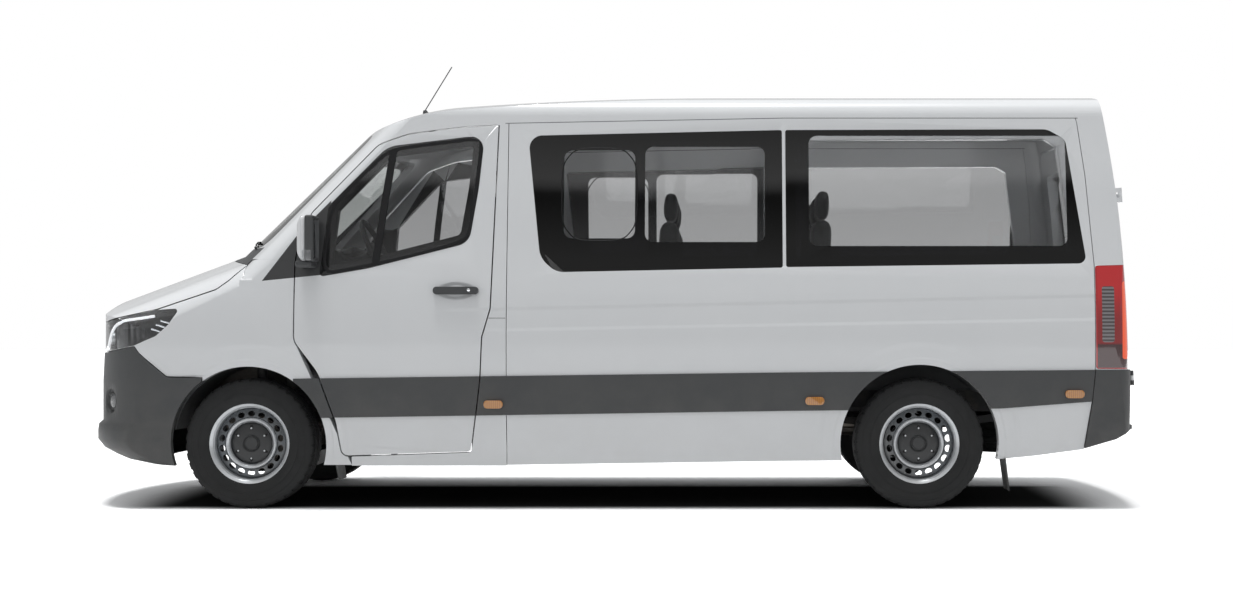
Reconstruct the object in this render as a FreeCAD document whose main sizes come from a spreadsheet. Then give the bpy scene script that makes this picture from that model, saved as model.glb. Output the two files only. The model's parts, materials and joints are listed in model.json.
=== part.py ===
import FreeCAD, Part
import math
import os
import Sketcher
from FreeCAD import Vector

# Minibus, left-hand drive, with a sliding door on its right side.
# Frame: X forward, Y to the left, Z up, on the ground, at the middle of the length.  Millimetres.

doc = FreeCAD.newDocument("minibus")

# ---------------------------------------------------------------- driving dimensions
# name, value, what it is
SIZES = [
    ("wheelbase", 3665, "front axle to rear axle"),
    ("front_overhang", 1028, "front axle to the bumper's foremost point"),
    ("rear_overhang", 1245, "rear axle to the rear bumper's rearmost point"),
    ("half_width", 1000, "half the body's width at its widest"),
    ("roof_height", 2335, "ground to the top of the roof"),
    ("half_track", 857, "middle of the vehicle to a tyre's middle plane"),
    ("tyre_radius", 356, "tyre's outer radius"),
    ("tyre_width", 235, "tyre's width"),
    ("rim_radius", 207, "rim's seat radius under the tyre's bead"),
    ("wall", 70, "thickness of body sides and doors"),
    ("roof_wall", 42, "thickness of the roof"),
    ("bonnet_wall", 40, "thickness of the bonnet, square to its slope"),
    ("panel_gap", 7, "gap round a moving panel"),
    ("seam_gap", 4, "gap between fixed panels"),
    ("glass", 5, "thickness of window glass"),
    ("seat_gap", 0.3, "gap between a piece and its seat"),
    ("floor_top", 680, "ground to the cabin floor"),
    ("floor_wall", 45, "thickness of the floor"),
    ("arch_room", 67, "between a front tyre and the edge of its wheel opening"),
    ("rear_arch_room", 77, "between a rear tyre and the edge of its wheel opening"),
    ("rail_height", 125, "height of the frame rails"),
    ("moulding", 12, "how far the side mouldings stand out"),
    ("disc_radius", 150, "brake disc's radius"),
    ("steer_radius", 200, "steering wheel's radius at the rim's middle"),
    ("steer_rim", 15, "steering wheel rim's half thickness"),
    ("cushion", 130, "thickness of a seat cushion"),
    ("seat_height", 400, "cabin floor to the top of a seat cushion"),
    ("back_height", 1090, "cabin floor to the top of a seat back"),
]
sheet = doc.addObject("Spreadsheet::Sheet", "Sizes")
for row, (name, value, what) in enumerate(SIZES, 1):
    sheet.set(f"A{row}", what)
    sheet.set(f"B{row}", str(value))
    sheet.setAlias(f"B{row}", name)
doc.recompute()


def size(name):
    return float(sheet.get(name))


WHEELBASE = size("wheelbase")
HALF_WIDTH = size("half_width")
ROOF_HEIGHT = size("roof_height")
HALF_TRACK = size("half_track")
TYRE_R = size("tyre_radius")
TYRE_W = size("tyre_width")
RIM_R = size("rim_radius")
WALL = size("wall")
GAP = size("panel_gap")
SEAM = size("seam_gap")
GLASS = size("glass")
SEAT_GAP = size("seat_gap")
FLOOR_TOP = size("floor_top")
FLOOR_WALL = size("floor_wall")
ARCH_R = TYRE_R + size("arch_room")
REAR_ARCH_R = TYRE_R + size("rear_arch_room")
MOULDING = size("moulding")
LENGTH = size("front_overhang") + WHEELBASE + size("rear_overhang")
FRONT_AXLE = LENGTH / 2 - size("front_overhang")
REAR_AXLE = FRONT_AXLE - WHEELBASE
BOUND = LENGTH / 2 + 540    # further out than any face of the vehicle


# ---------------------------------------------------------------- outlines
def line(a, b):
    return Part.LineSegment(a, b).toShape()


def path(start, *steps):
    """Closed wire from start: a step is a point (a line) or a pair of points (an arc's middle and end)."""
    edges = []
    here = start
    for step in steps:
        if isinstance(step, tuple):
            edges.append(Part.Arc(here, step[0], step[1]).toShape())
            here = step[1]
        else:
            edges.append(line(here, step))
            here = step
    if (here - start).Length > 1e-6:
        edges.append(line(here, start))
    return Part.Wire(edges)


def solid_of(wire, along):
    return Part.Face(wire).extrude(along)


PLANES = {
    "side": (lambda u, v, w: Vector(u, w, v)),      # u along X, v up, w across
    "front": (lambda u, v, w: Vector(w, u, v)),     # u across, v up, w along X
    "plan": (lambda u, v, w: Vector(u, v, w)),      # u along X, v across, w up
}


def outline(corners, plane, at):
    """Wire through corners (u, v, radius), each rounded by its radius as far as its sides allow."""
    put = PLANES[plane]
    count = len(corners)
    steps = []
    for i in range(count):
        u, v, radius = corners[i]
        a = Vector(corners[i - 1][0] - u, corners[i - 1][1] - v, 0)
        b = Vector(corners[(i + 1) % count][0] - u, corners[(i + 1) % count][1] - v, 0)
        turn = a.getAngle(b)
        reach = min(radius / math.tan(turn / 2), 0.45 * a.Length, 0.45 * b.Length) if radius else 0.0
        if reach < 0.5 or turn > math.pi - 0.01:
            steps.append(put(u, v, at))
            continue
        a.normalize()
        b.normalize()
        real = reach * math.tan(turn / 2)
        middle = a + b
        middle.normalize()
        inward = middle * (real / math.sin(turn / 2) - real)
        first, last = a * reach, b * reach
        steps.append((put(u + first.x, v + first.y, at), put(u + inward.x, v + inward.y, at),
                      put(u + last.x, v + last.y, at)))
    edges = []
    ends = [s if isinstance(s, tuple) else (s, None, s) for s in steps]
    for i in range(count):
        first, middle, last = ends[i]
        if middle is not None:
            edges.append(Part.Arc(first, middle, last).toShape())
        after = ends[(i + 1) % count][0]
        if (after - last).Length > 1e-6:
            edges.append(line(last, after))
    return Part.Wire(edges)


def slab(corners, plane, low, high):
    """Solid of an outline between two places on the axis square to its plane."""
    put = PLANES[plane]
    return solid_of(outline(corners, plane, low), put(0, 0, high) - put(0, 0, low))


def grown(corners, by):
    """Corners moved outwards by a distance (inwards if negative), whatever way round they run."""
    count = len(corners)
    area = sum(corners[i - 1][0] * corners[i][1] - corners[i][0] * corners[i - 1][1] for i in range(count))
    side = 1.0 if area > 0 else -1.0
    out = []
    for i in range(count):
        p, q, r = corners[i - 1], corners[i], corners[(i + 1) % count]
        a = Vector(q[0] - p[0], q[1] - p[1], 0).normalize()
        b = Vector(r[0] - q[0], r[1] - q[1], 0).normalize()
        na, nb = Vector(a.y, -a.x, 0) * side, Vector(b.y, -b.x, 0) * side
        k = by / (1 + na.dot(nb))
        radius = q[2]
        if radius:
            convex = side * (a.x * b.y - a.y * b.x) > 0
            radius = max(radius + (by if convex else -by), 1.0)
        out.append((q[0] + (na.x + nb.x) * k, q[1] + (na.y + nb.y) * k, radius))
    return out


def box(x0, x1, y0, y1, z0, z1):
    return Part.makeBox(x1 - x0, y1 - y0, z1 - z0, Vector(x0, y0, z0))


def rod(a, b, radius):
    return Part.makeCylinder(radius, (b - a).Length, a, b - a)


def mirrored(shape):
    return shape.mirror(Vector(0, 0, 0), Vector(0, 1, 0))


# ---------------------------------------------------------------- outer form of the body
LEAN = math.radians(7.2)            # how far the sides above the waist lean in
WIDEST = 900.0                      # height where the body is widest
LOWER_CURVE, UPPER_CURVE = 5000.0, 2790.0   # the sides' curves below and above the widest line
CROWN, CANT_RAIL = 4200.0, 120.0    # roof's curve across, and the curve at its edge
SCREEN = (1250.0, FRONT_AXLE + 375, 2400.0, FRONT_AXLE - 808)   # height and tip, low and high
SCREEN_CURVE, PILLAR_LOW, PILLAR_HIGH = 1600.0, 180.0, 150.0
# the roof's fall to the front: where each curve starts ahead of the front axle, its radius
ROOF_FALL, HEADER_FALL = (-2560.0, 20200.0), (-1110.0, 1320.0)
NOSE, NOSE_CURVE, NOSE_CORNER = FRONT_AXLE + 985, 2300.0, 430.0
BONNET_SLOPE = 20.5
BONNET_AT = (FRONT_AXLE + 818, 1189.0)      # a point of the bonnet's middle line
BONNET_CROWN, BONNET_EDGE = 2600.0, 240.0
BROW = 230.0                                # curve from the bonnet down into the nose, seen from the side
BROW_SLOPES = (36.0, 50.0, 64.0, 78.0)
TAIL = REAR_AXLE - 1198
TAIL_CURVE, TAIL_CROWN, TAIL_CORNER, TAIL_FOOT = 8167.0, 9000.0, 90.0, 700.0


def tangent_corner(big, small, side, centre):
    """Plan points where a corner curve leaves its straight side and meets the curve of the end."""
    across_by = side - small
    along = centre + math.sqrt((big - small) ** 2 - across_by ** 2)
    angle = math.atan2(across_by, along - centre)
    middle = (math.pi / 2 + angle) / 2
    return ((along, side), (along + small * math.cos(middle), across_by + small * math.sin(middle)),
            (centre + big * math.cos(angle), big * math.sin(angle)))


def front_plan(height, tip, big, small, side, back):
    leave, middle, meet = tangent_corner(big, small, side, tip - big)
    p = [Vector(u, v, height) for u, v in (leave, middle, meet)]
    m = [Vector(q.x, -q.y, q.z) for q in p]
    return path(Vector(back, side, height), p[0], (p[1], p[2]), (Vector(tip, 0, height), m[2]),
                (m[1], m[0]), Vector(back, -side, height))


def back_plan(height, tip, big, small, side, front):
    """The like outline that faces backwards, with a straight front."""
    leave, middle, meet = tangent_corner(big, small, side, -big)
    p = [Vector(tip - u, v, height) for u, v in (leave, middle, meet)]
    m = [Vector(q.x, -q.y, q.z) for q in p]
    return path(Vector(front, side, height), p[0], (p[1], p[2]), (Vector(tip, 0, height), m[2]),
                (m[1], m[0]), Vector(front, -side, height))


def side_lean(inset, height):
    top = WIDEST + (UPPER_CURVE - inset) * math.sin(LEAN)
    edge = HALF_WIDTH - inset - (UPPER_CURVE - inset) * (1 - math.cos(LEAN))
    return edge - (height - top) * math.tan(LEAN)


def cross_form(inset, roof_inset):
    """Body's cross-section: curved sides, straight above the waist, rounded into the crowned roof."""
    wide = HALF_WIDTH - inset

    def on(curve, height):
        return Vector(-BOUND, wide - curve + math.sqrt(curve ** 2 - (height - WIDEST) ** 2), height)

    low, high = LOWER_CURVE - inset, UPPER_CURVE - inset
    waist = WIDEST + high * math.sin(LEAN)
    foot, widest, hip = on(low, 150.0), on(low, WIDEST), on(high, waist)
    crown, rail = CROWN - roof_inset, max(CANT_RAIL - inset, 20.0)
    centre = ROOF_HEIGHT - roof_inset - crown
    normal = (math.cos(LEAN), math.sin(LEAN))
    reach = hip.y * normal[0] + hip.z * normal[1] - rail
    gap = crown - rail
    k = normal[1] / normal[0]
    a, b, c = 1 + k * k, -2 * reach * k / normal[0] - 2 * centre, (reach / normal[0]) ** 2 + centre ** 2 - gap ** 2
    rail_z = (-b + math.sqrt(b * b - 4 * a * c)) / (2 * a)
    rail_y = (reach - normal[1] * rail_z) / normal[0]
    low_angle = math.atan2(normal[0], normal[1])
    high_angle = math.atan2(rail_y, rail_z - centre)

    def round_rail(angle):
        return Vector(-BOUND, rail_y + rail * math.sin(angle), rail_z + rail * math.cos(angle))

    left = [foot, on(low, (150.0 + WIDEST) / 2), widest, on(high, (WIDEST + waist) / 2), hip,
            round_rail(low_angle), round_rail((low_angle + high_angle) / 2), round_rail(high_angle)]
    right = [Vector(p.x, -p.y, p.z) for p in left]
    wire = path(left[0], (left[1], left[2]), (left[3], left[4]), left[5], (left[6], left[7]),
                (Vector(-BOUND, 0, ROOF_HEIGHT - roof_inset), right[7]), (right[6], right[5]), right[4],
                (right[3], right[2]), (right[1], right[0]))
    return solid_of(wire, Vector(2 * BOUND, 0, 0))


def sloped_form(inset, roof_inset, slope, at):
    """Crowned section of the bonnet pushed back and up along a slope that passes a point of the middle line."""
    rise = math.tan(math.radians(slope))
    drop = roof_inset / math.cos(math.radians(slope))
    front = BOUND
    top = at[1] - (front - at[0]) * rise - drop
    edge, side = BONNET_EDGE, HALF_WIDTH + 5 - inset
    centre = top - BONNET_CROWN
    rail_y = side - edge
    rail_z = centre + math.sqrt((BONNET_CROWN - edge) ** 2 - rail_y ** 2)
    angle = math.atan2(rail_y, rail_z - centre)
    middle = (math.pi / 2 + angle) / 2
    run = front - FRONT_AXLE - 40
    left = [Vector(front, side, -run * rise), Vector(front, side, rail_z),
            Vector(front, rail_y + edge * math.sin(middle), rail_z + edge * math.cos(middle)),
            Vector(front, rail_y + edge * math.sin(angle), rail_z + edge * math.cos(angle))]
    right = [Vector(p.x, -p.y, p.z) for p in left]
    wire = path(left[0], left[1], (left[2], left[3]), (Vector(front, 0, top), right[3]),
                (right[2], right[1]), right[0])
    return solid_of(wire, Vector(-run, 0, run * rise))


def nose_form(inset, nose_inset):
    """The bonnet's slope and the steeper ones that round its front edge down into the nose."""
    rise = math.tan(math.radians(BONNET_SLOPE))
    centre_x = NOSE - BROW
    centre_z = BONNET_AT[1] - (centre_x - BONNET_AT[0]) * rise - BROW / math.cos(math.radians(BONNET_SLOPE))
    form = sloped_form(inset, nose_inset, BONNET_SLOPE, BONNET_AT)
    for slope in BROW_SLOPES:
        turn = math.radians(slope)
        at = (centre_x + BROW * math.sin(turn), centre_z + BROW * math.cos(turn))
        form = form.common(sloped_form(inset, nose_inset, slope, at))
    return form


def turned_with_tail(wire):
    """Plan outline at the tail's foot, turned about the tail's far cross axis."""
    axis = Vector(TAIL + TAIL_CURVE, 0, TAIL_FOOT)
    face = Part.Face(wire)
    face.rotate(axis, Vector(0, 1, 0), -6.0)
    return face.revolve(axis, Vector(0, 1, 0), 24.0)


def tail_form(inset):
    """What lies behind the tail: its plan is turned about a far cross axis, so that it curves forward."""
    wire = back_plan(TAIL_FOOT, TAIL + inset, TAIL_CROWN - inset, max(TAIL_CORNER - inset, 15.0),
                     HALF_WIDTH - inset, BOUND)
    return box(-BOUND, REAR_AXLE, -BOUND, BOUND, 100.0, 2500.0).cut(turned_with_tail(wire))


ROOF_TURN = math.asin((HEADER_FALL[0] - ROOF_FALL[0]) / ROOF_FALL[1])
ROOF_CENTRE = Vector(FRONT_AXLE + ROOF_FALL[0], 0, ROOF_HEIGHT - ROOF_FALL[1])
HEADER_CENTRE = ROOF_CENTRE + Vector(math.sin(ROOF_TURN), 0, math.cos(ROOF_TURN)) * (ROOF_FALL[1] - HEADER_FALL[1])


def header_form(roof_inset):
    """What lies above the roof's front: what is above the crown, turned about two far cross axes in turn."""
    x, top, crown = ROOF_CENTRE.x, ROOF_HEIGHT - roof_inset, CROWN - roof_inset
    edge_y, high = HALF_WIDTH + 100, ROOF_HEIGHT + 300
    edge_z = top - crown + math.sqrt(crown ** 2 - edge_y ** 2)
    face = Part.Face(path(Vector(x, -edge_y, edge_z), (Vector(x, 0, top), Vector(x, edge_y, edge_z)),
                          Vector(x, edge_y, high), Vector(x, -edge_y, high)))
    across, turn = Vector(0, 1, 0), math.degrees(ROOF_TURN)
    fall = face.revolve(ROOF_CENTRE, across, turn)
    face.rotate(ROOF_CENTRE, across, turn)
    return fall.fuse(face.revolve(HEADER_CENTRE, across, 50.0))


def body_form(inset, roof_inset, nose_inset):
    """The whole outer form, or the space inside it at the given wall thicknesses."""
    z0, tip0, z1, tip1 = SCREEN
    back = nose_inset / math.sin(math.radians(43.7))
    loose = 2.0     # the sides come from the cross-section alone
    upper = Part.makeLoft([
        front_plan(z0, tip0 - back, SCREEN_CURVE, PILLAR_LOW - inset, side_lean(inset, z0) + loose, -BOUND),
        front_plan(z1, tip1 - back, SCREEN_CURVE, PILLAR_HIGH - inset, side_lean(inset, z1) + loose, -BOUND),
    ], True, True)
    plan = front_plan(150.0, NOSE - inset, NOSE_CURVE - inset, NOSE_CORNER - inset, HALF_WIDTH + 10 - inset, -BOUND)
    plan = solid_of(plan, Vector(0, 0, 1350.0))
    nose = plan.common(nose_form(inset, nose_inset))
    middle = plan.common(box(-BOUND, FRONT_AXLE + 50, -BOUND, BOUND, 100.0, z0))
    form = upper.fuse([nose, middle]).common(cross_form(inset, roof_inset))
    return form.cut(tail_form(inset)).cut(header_form(roof_inset))


OUTER = body_form(0.0, 0.0, 0.0)
INNER = body_form(WALL, size("roof_wall"), size("bonnet_wall"))
SHELL = OUTER.cut(INNER)
# what is fixed to the walls stays a seat gap off them, inside and outside
ROOM = body_form(WALL + SEAT_GAP, size("roof_wall") + SEAT_GAP, size("bonnet_wall") + SEAT_GAP)
OFF_SKIN = body_form(-SEAT_GAP, -SEAT_GAP, -SEAT_GAP)
BEHIND_GLASS = body_form(GLASS, GLASS, GLASS)
UNDER_GLASS = body_form(GLASS + SEAT_GAP, GLASS + SEAT_GAP, GLASS + SEAT_GAP)
GLASS_SKIN = OUTER.cut(BEHIND_GLASS)
REBATE_SKIN = OUTER.cut(UNDER_GLASS)

# ---------------------------------------------------------------- panel outlines, seen from the side
# distance ahead of the front axle, height, corner radius
FRONT_DOOR = [
    (-510, 291, 40), (-478, 482, 300), (-385, 743, 250), (-254, 918, 90), (-254, 1345, 500), (-276, 1492, 120),
    (-338, 1623, 80), (-690, 1996, 110), (-853, 2055, 250), (-1136, 2093, 900), (-1384, 2108, 40),
    (-1325, 1095, 60), (-1278, 939, 60), (-1269, 716, 400), (-1223, 315, 40),
]
# the line of its rear edge, closed far ahead
DOOR_REAR = [(-1401, 2400, 0), (-1325, 1095, 60), (-1278, 939, 60), (-1269, 716, 400), (-1210, 200, 0),
             (600, 200, 0), (600, 2400, 0)]
DOOR_WINDOW = [
    (-384, 1268, 20), (-426, 1660, 60), (-742, 1990, 150), (-1278, 2056, 70), (-1250, 1760, 1500),
    (-1201, 1455, 90), (-650, 1314, 600),
]
BONNET_LINE = [
    (-300, 1400, 0), (12, 1369, 0), (120, 1253, 60), (184, 1203, 80), (511, 1094, 100), (760, 1043, 100),
    (1200, 950, 0), (1200, 1700, 0), (-300, 1700, 0),
]
WING_TOP = [(-254, 1349), (-150, 1361), (60, 1372), (1200, 1372)]
WING = [(-560, 240, 0), (-254, 918, 0)] + [(u, v, 0) for u, v in WING_TOP] + [(1200, 240, 0)]
HEADLIGHT = [
    (375, 1096, 15), (511, 1088, 60), (760, 1037, 60), (1200, 944, 0), (1200, 850, 0), (842, 858, 0),
    (729, 876, 60), (625, 893, 80), (500, 945, 80), (430, 1010, 60),
]
BUMPER = [
    (250, 717, 0), (439, 720, 40), (597, 852, 30), (625, 887, 10), (729, 870, 60), (842, 852, 0),
    (1200, 844, 0), (1200, 150, 0), (250, 150, 0),
]
B_LINE = -1409.0        # seam ahead of the first side window
C_LINE = -2926.0        # seam between the side windows
GUTTER = [(-810, 2058), (-1113, 2101), (-1345, 2119), (-2926, 2149), (-6000, 2149)]
SIDE_WINDOWS = [
    [(-1517, 2050, 70), (-2916, 2082, 12), (-2918, 1319, 12), (-1680, 1294, 110), (-1590, 1370, 300)],
    [(-2934, 2082, 12), (-4379, 2086, 90), (-4478, 2030, 60), (-4580, 1342, 40), (-2936, 1322, 12)],
]
FRAME = 55.0            # how far a window's frame shows inside its glass
# behind the rear axle, height, corner radius
D_LINE = [(-859, 2205, 0), (-881, 2123, 0), (-919, 1830, 600), (-957, 1330, 400), (-957, 770, 400), (-940, 585, 0),
          (-903, 350, 0), (-895, 150, 0)]
TAIL_LIGHT = [(-958, 1330, 15), (-1300, 1340, 0), (-1300, 762, 0), (-958, 766, 15)]
# across, height, corner radius
REAR_DOORS = [(880, 470, 30), (888, 1100, 800), (762, 2100, 90), (-762, 2100, 90), (-888, 1100, 800),
              (-880, 470, 30)]
REAR_WINDOW = [(70, 1345, 60), (788, 1345, 60), (712, 1990, 80), (70, 2010, 60)]
SCREEN_EDGE = [(-815, 1440, 60), (815, 1440, 60), (700, 2078, 90), (-700, 2078, 90)]


def from_front(corners):
    return [(FRONT_AXLE + c[0],) + tuple(c[1:]) for c in corners]


def from_rear(corners):
    return [(REAR_AXLE + c[0],) + tuple(c[1:]) for c in corners]


def halfspace(edge, plane_side):
    """Outline that closes an open edge far above it ("above") or far behind it ("behind")."""
    if plane_side == "above":
        return [(u, v, 0) for u, v in edge] + [(edge[-1][0], 4000, 0), (BOUND, 4000, 0), (BOUND, edge[0][1], 0)]
    return [tuple(c) for c in edge] + [(-BOUND, edge[-1][1], 0), (-BOUND, edge[0][1], 0)]


FAR = HALF_WIDTH + 200.0
EDGE_SLOPE = 0.2        # how far the front doors' rear edges lean, so that they swing clear


def left_of(corners, by=0.0, low=300.0, plane="side"):
    return slab(grown(corners, by) if by else corners, plane, low, FAR)


def door_block(by):
    """Front door's outline carried inwards, its rear edge leaning forward."""
    deep, face = 310.0, HALF_WIDTH + 30
    straight = slab(grown(from_front(FRONT_DOOR), by), "side", face - deep, face)
    edge = outline(grown(from_front(DOOR_REAR), by), "side", face)
    return straight.common(solid_of(edge, Vector(EDGE_SLOPE * deep, -deep, 0)))


def wheel_hole(axle, radius, low=300.0):
    return rod(Vector(axle, low, TYRE_R), Vector(axle, FAR, TYRE_R), radius)


NODES = []


def node(name, shape):
    """Sub-part whose shape is worked out from the sheet."""
    if not shape.Placement.isIdentity():
        shape = Part.makeCompound([shape])
    piece = doc.addObject("Part::Feature", name)
    piece.Label = name
    piece.Shape = shape
    piece.Placement = FreeCAD.Placement()
    NODES.append(piece)
    return piece


def pair(left):
    return Part.makeCompound([left, mirrored(left)])


# ---------------------------------------------------------------- roof, walls and frames
gutter = [(FRONT_AXLE + u, v) for u, v in GUTTER]
above_gutter = slab(halfspace(gutter, "above"), "side", -FAR, FAR)
d_line = from_rear(D_LINE)
behind_d = slab(halfspace(d_line, "behind"), "side", -FAR, FAR)
behind_d_seam = slab(halfspace([(u + SEAM, v, r) for u, v, r in d_line], "behind"), "side", -FAR, FAR)
behind_d_roof = slab(halfspace([(u + SEAT_GAP, v, r) for u, v, r in d_line], "behind"), "side", -FAR, FAR)
DOOR_RISE = 6.0         # the rear doors rise a little as they swing back about their leaning hinges
tail_hole = slab([(u, v + (DOOR_RISE if v > 2000 else 0), r) for u, v, r in grown(REAR_DOORS, GAP)],
                 "front", -BOUND, REAR_AXLE - 800)
below_tail = slab([(887, 0, 0), (887, 500, 0), (-887, 500, 0), (-887, 0, 0)], "front", -BOUND, REAR_AXLE - 800)
screen_hole = slab(grown(SCREEN_EDGE, -40), "front", FRONT_AXLE - 900, FRONT_AXLE + 600)
screen_rebate = OUTER.common(slab(SCREEN_EDGE, "front", FRONT_AXLE - 900, FRONT_AXLE + 600)).cut(UNDER_GLASS)
light_hole = slab(from_rear(TAIL_LIGHT), "side", 870, FAR)

node("roof", SHELL.common(above_gutter).cut(behind_d_roof).cut(screen_hole).cut(screen_rebate))

# rear doors' hinges: each barrel is on one leaning axis, its middle on the door and its ends on the frame
HINGE_LEAN = Vector(0.065, 0, 1).normalize()
HINGE_FOOT = Vector(TAIL + 24, HALF_WIDTH - 95, 740)
HINGE_R, HINGE_HALF, KNUCKLE_HALF = 11.0, 40.0, 13.0
PLATE_SHY = 1.5         # how far a hinge's plate stays back from its barrel's ends, which lean
LOW_HINGE, HIGH_HINGE = 715.0, 1720.0


def hinge_point(height):
    return HINGE_FOOT + HINGE_LEAN * ((height - HINGE_FOOT.z) / HINGE_LEAN.z)


def frame_knuckles(height, reach):
    """Two barrel ends on a bracket that reaches forward to the corner of the body."""
    at = hinge_point(height)
    ends = []
    for low in (-HINGE_HALF, KNUCKLE_HALF + SEAT_GAP):
        high = low + HINGE_HALF - KNUCKLE_HALF - SEAT_GAP
        start = at + HINGE_LEAN * low
        ends.append(Part.makeCylinder(HINGE_R, high - low, start, HINGE_LEAN))
        ends.append(box(at.x, at.x + reach, at.y - 4, at.y + 9, start.z + PLATE_SHY, start.z + high - low - PLATE_SHY))
    return ends


tail_ring = SHELL.common(behind_d).cut(tail_hole).cut(below_tail)
tail = tail_ring.cut(pair(light_hole)).cut(box(-BOUND, 0, -FAR, FAR, 0, 762))
ends = frame_knuckles(HIGH_HINGE, 85)
node("tail_frame", tail.fuse(ends + [mirrored(q) for q in ends]))
node("tail_lights", tail_ring.common(pair(slab(grown(from_rear(TAIL_LIGHT), -SEAT_GAP), "side", 870, FAR))))

sill = [(FRONT_AXLE + B_LINE - SEAM / 2, 240, 0), (FRONT_AXLE + C_LINE, 262, 0), (REAR_AXLE - 430, 272, 0),
        (REAR_AXLE - 620, 290, 0), (REAR_AXLE - 1400, 393, 0), (REAR_AXLE - 1400, 2600, 0),
        (FRONT_AXLE + B_LINE - SEAM / 2, 2600, 0)]
wall = SHELL.common(left_of(sill)).cut(above_gutter).cut(behind_d_seam)
wall = wall.cut(wheel_hole(REAR_AXLE, REAR_ARCH_R))
for window in SIDE_WINDOWS:
    corners = from_front(window)
    wall = wall.cut(left_of(corners, -FRAME)).cut(REBATE_SKIN.common(left_of(corners)))
node("side_wall_left", wall)
slider = [(FRONT_AXLE + B_LINE, 330, 0), (FRONT_AXLE + C_LINE, 335, 0), (FRONT_AXLE + C_LINE, 2600, 0),
          (FRONT_AXLE + B_LINE, 2600, 0)]
RAIL_SLOT = (1192.0, 1222.0, 25.0)      # the sliding door's rail: height of its edges, depth
rail_slot = box(REAR_AXLE - 720, FRONT_AXLE + C_LINE, 0, FAR, RAIL_SLOT[0], RAIL_SLOT[1])
rail_slot = rail_slot.cut(body_form(RAIL_SLOT[2], RAIL_SLOT[2], RAIL_SLOT[2]))
node("side_wall_right", mirrored(wall.cut(left_of(slider)).cut(rail_slot)))
node("sliding_door", mirrored(wall.common(left_of(slider, -SEAM))))

# ---------------------------------------------------------------- cab
COWL_TOP = 1436.0
BONNET_BACK = FRONT_AXLE + 285      # where the bonnet's rear edge crosses the middle


def behind(tip):
    """Everything behind a line across the vehicle that is curved like the windscreen's foot."""
    plan = front_plan(0.0, tip, SCREEN_CURVE, PILLAR_LOW, HALF_WIDTH - 5, -BOUND)
    return solid_of(plan, Vector(0, 0, ROOF_HEIGHT + 200))


behind_bonnet = behind(BONNET_BACK)
cowl_block = behind(BONNET_BACK - GAP).common(box(FRONT_AXLE - 100, BOUND, -830, 830, 1340, COWL_TOP))
cab_edge = [(B_LINE + SEAM / 2, 236, 0), (-560, 236, 0), (-560, WING_TOP[0][1], 0)]
cab_edge += [(u, v + SEAT_GAP, 0) for u, v in WING_TOP] + [(1200, 2600, 0), (B_LINE + SEAM / 2, 2600, 0)]
door_hole = door_block(GAP)
cab = SHELL.common(slab(from_front(cab_edge), "side", -FAR, FAR)).cut(above_gutter).cut(pair(door_hole))
cab = cab.common(behind(BONNET_BACK - GAP).fuse(box(-BOUND, BOUND, -FAR, FAR, 1700, 2600)))
cab = cab.cut(cowl_block).cut(screen_hole).cut(screen_rebate)
bulkhead = slab(from_front([
    (-380, 636, 0), (-340, 636, 0), (-200, 790, 60), (-60, 1000, 60), (-60, 1340, 0), (-100, 1340, 0),
    (-100, 1010, 60), (-240, 800, 60), (-380, 690, 0)]), "side", -FAR, FAR)
inside = body_form(WALL + 8, 60.0, 60.0)
node("cab_frame", Part.makeCompound([cab, bulkhead.common(inside)]))
# wipers: ahead of the front axle and across, at the spindle and at the tip
WIPERS = [((35, 700), (188, 80)), ((188, 20), (75, -600))]
wipers = [rod(Vector(FRONT_AXLE + a[0], a[1], COWL_TOP + 5), Vector(FRONT_AXLE + b[0], b[1], COWL_TOP + 14), 7)
          .cut(OFF_SKIN) for a, b in WIPERS]
node("cowl", Part.makeCompound([SHELL.common(cowl_block).cut(screen_hole).cut(screen_rebate)] + wipers))
screen_block = slab(grown(SCREEN_EDGE, -SEAT_GAP), "front", FRONT_AXLE - 900, FRONT_AXLE + 600)
node("windscreen", OUTER.common(screen_block).cut(BEHIND_GLASS))
panes = [GLASS_SKIN.common(left_of(from_front(w), -SEAT_GAP)) for w in SIDE_WINDOWS]
node("side_windows", Part.makeCompound(panes + [mirrored(p) for p in panes]))

# ---------------------------------------------------------------- nose
bonnet_line = from_front(BONNET_LINE)
bonnet_block = slab(bonnet_line, "side", -FAR, FAR).cut(behind_bonnet)
node("bonnet", SHELL.common(bonnet_block))
bonnet_room = slab(grown(bonnet_line, GAP), "side", -FAR, FAR)
GRILLE_SIDE = 515.0
lamp = from_front(HEADLIGHT)
wing = SHELL.common(left_of(from_front(WING))).cut(door_hole).cut(wheel_hole(FRONT_AXLE, ARCH_R))
wing = wing.cut(bonnet_room).cut(left_of(lamp, SEAT_GAP, GRILLE_SIDE)).cut(left_of(from_front(BUMPER), SEAM, 0))
wing = wing.cut(box(FRONT_AXLE + 600, BOUND, -FAR, GRILLE_SIDE + 20, 0, 2000)).cut(cowl_block)
node("front_wings", pair(wing))
node("headlights", pair(SHELL.common(left_of(lamp, 0, GRILLE_SIDE + SEAT_GAP)).cut(bonnet_room)))
grille = SHELL.common(box(FRONT_AXLE + 600, BOUND, -GRILLE_SIDE, GRILLE_SIDE, 700, 1100)).cut(bonnet_room)
for low in (745, 815, 885):
    grille = grille.cut(box(FRONT_AXLE + 600, BOUND, -GRILLE_SIDE + 60, GRILLE_SIDE - 60, low, low + 40))
node("grille", grille)

# bumper: height, tip ahead of the nose
BUMPER_LEVELS = [(236, -250), (262, -125), (290, -60), (325, 5), (372, 43), (420, 43), (455, 38), (475, 14),
                 (700, 14), (900, 4)]
FOG_LAMP = (43.0, 585.0, 60.0, 80.0)    # bearing on the corner, height, radius at the floor and at the rim


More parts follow.
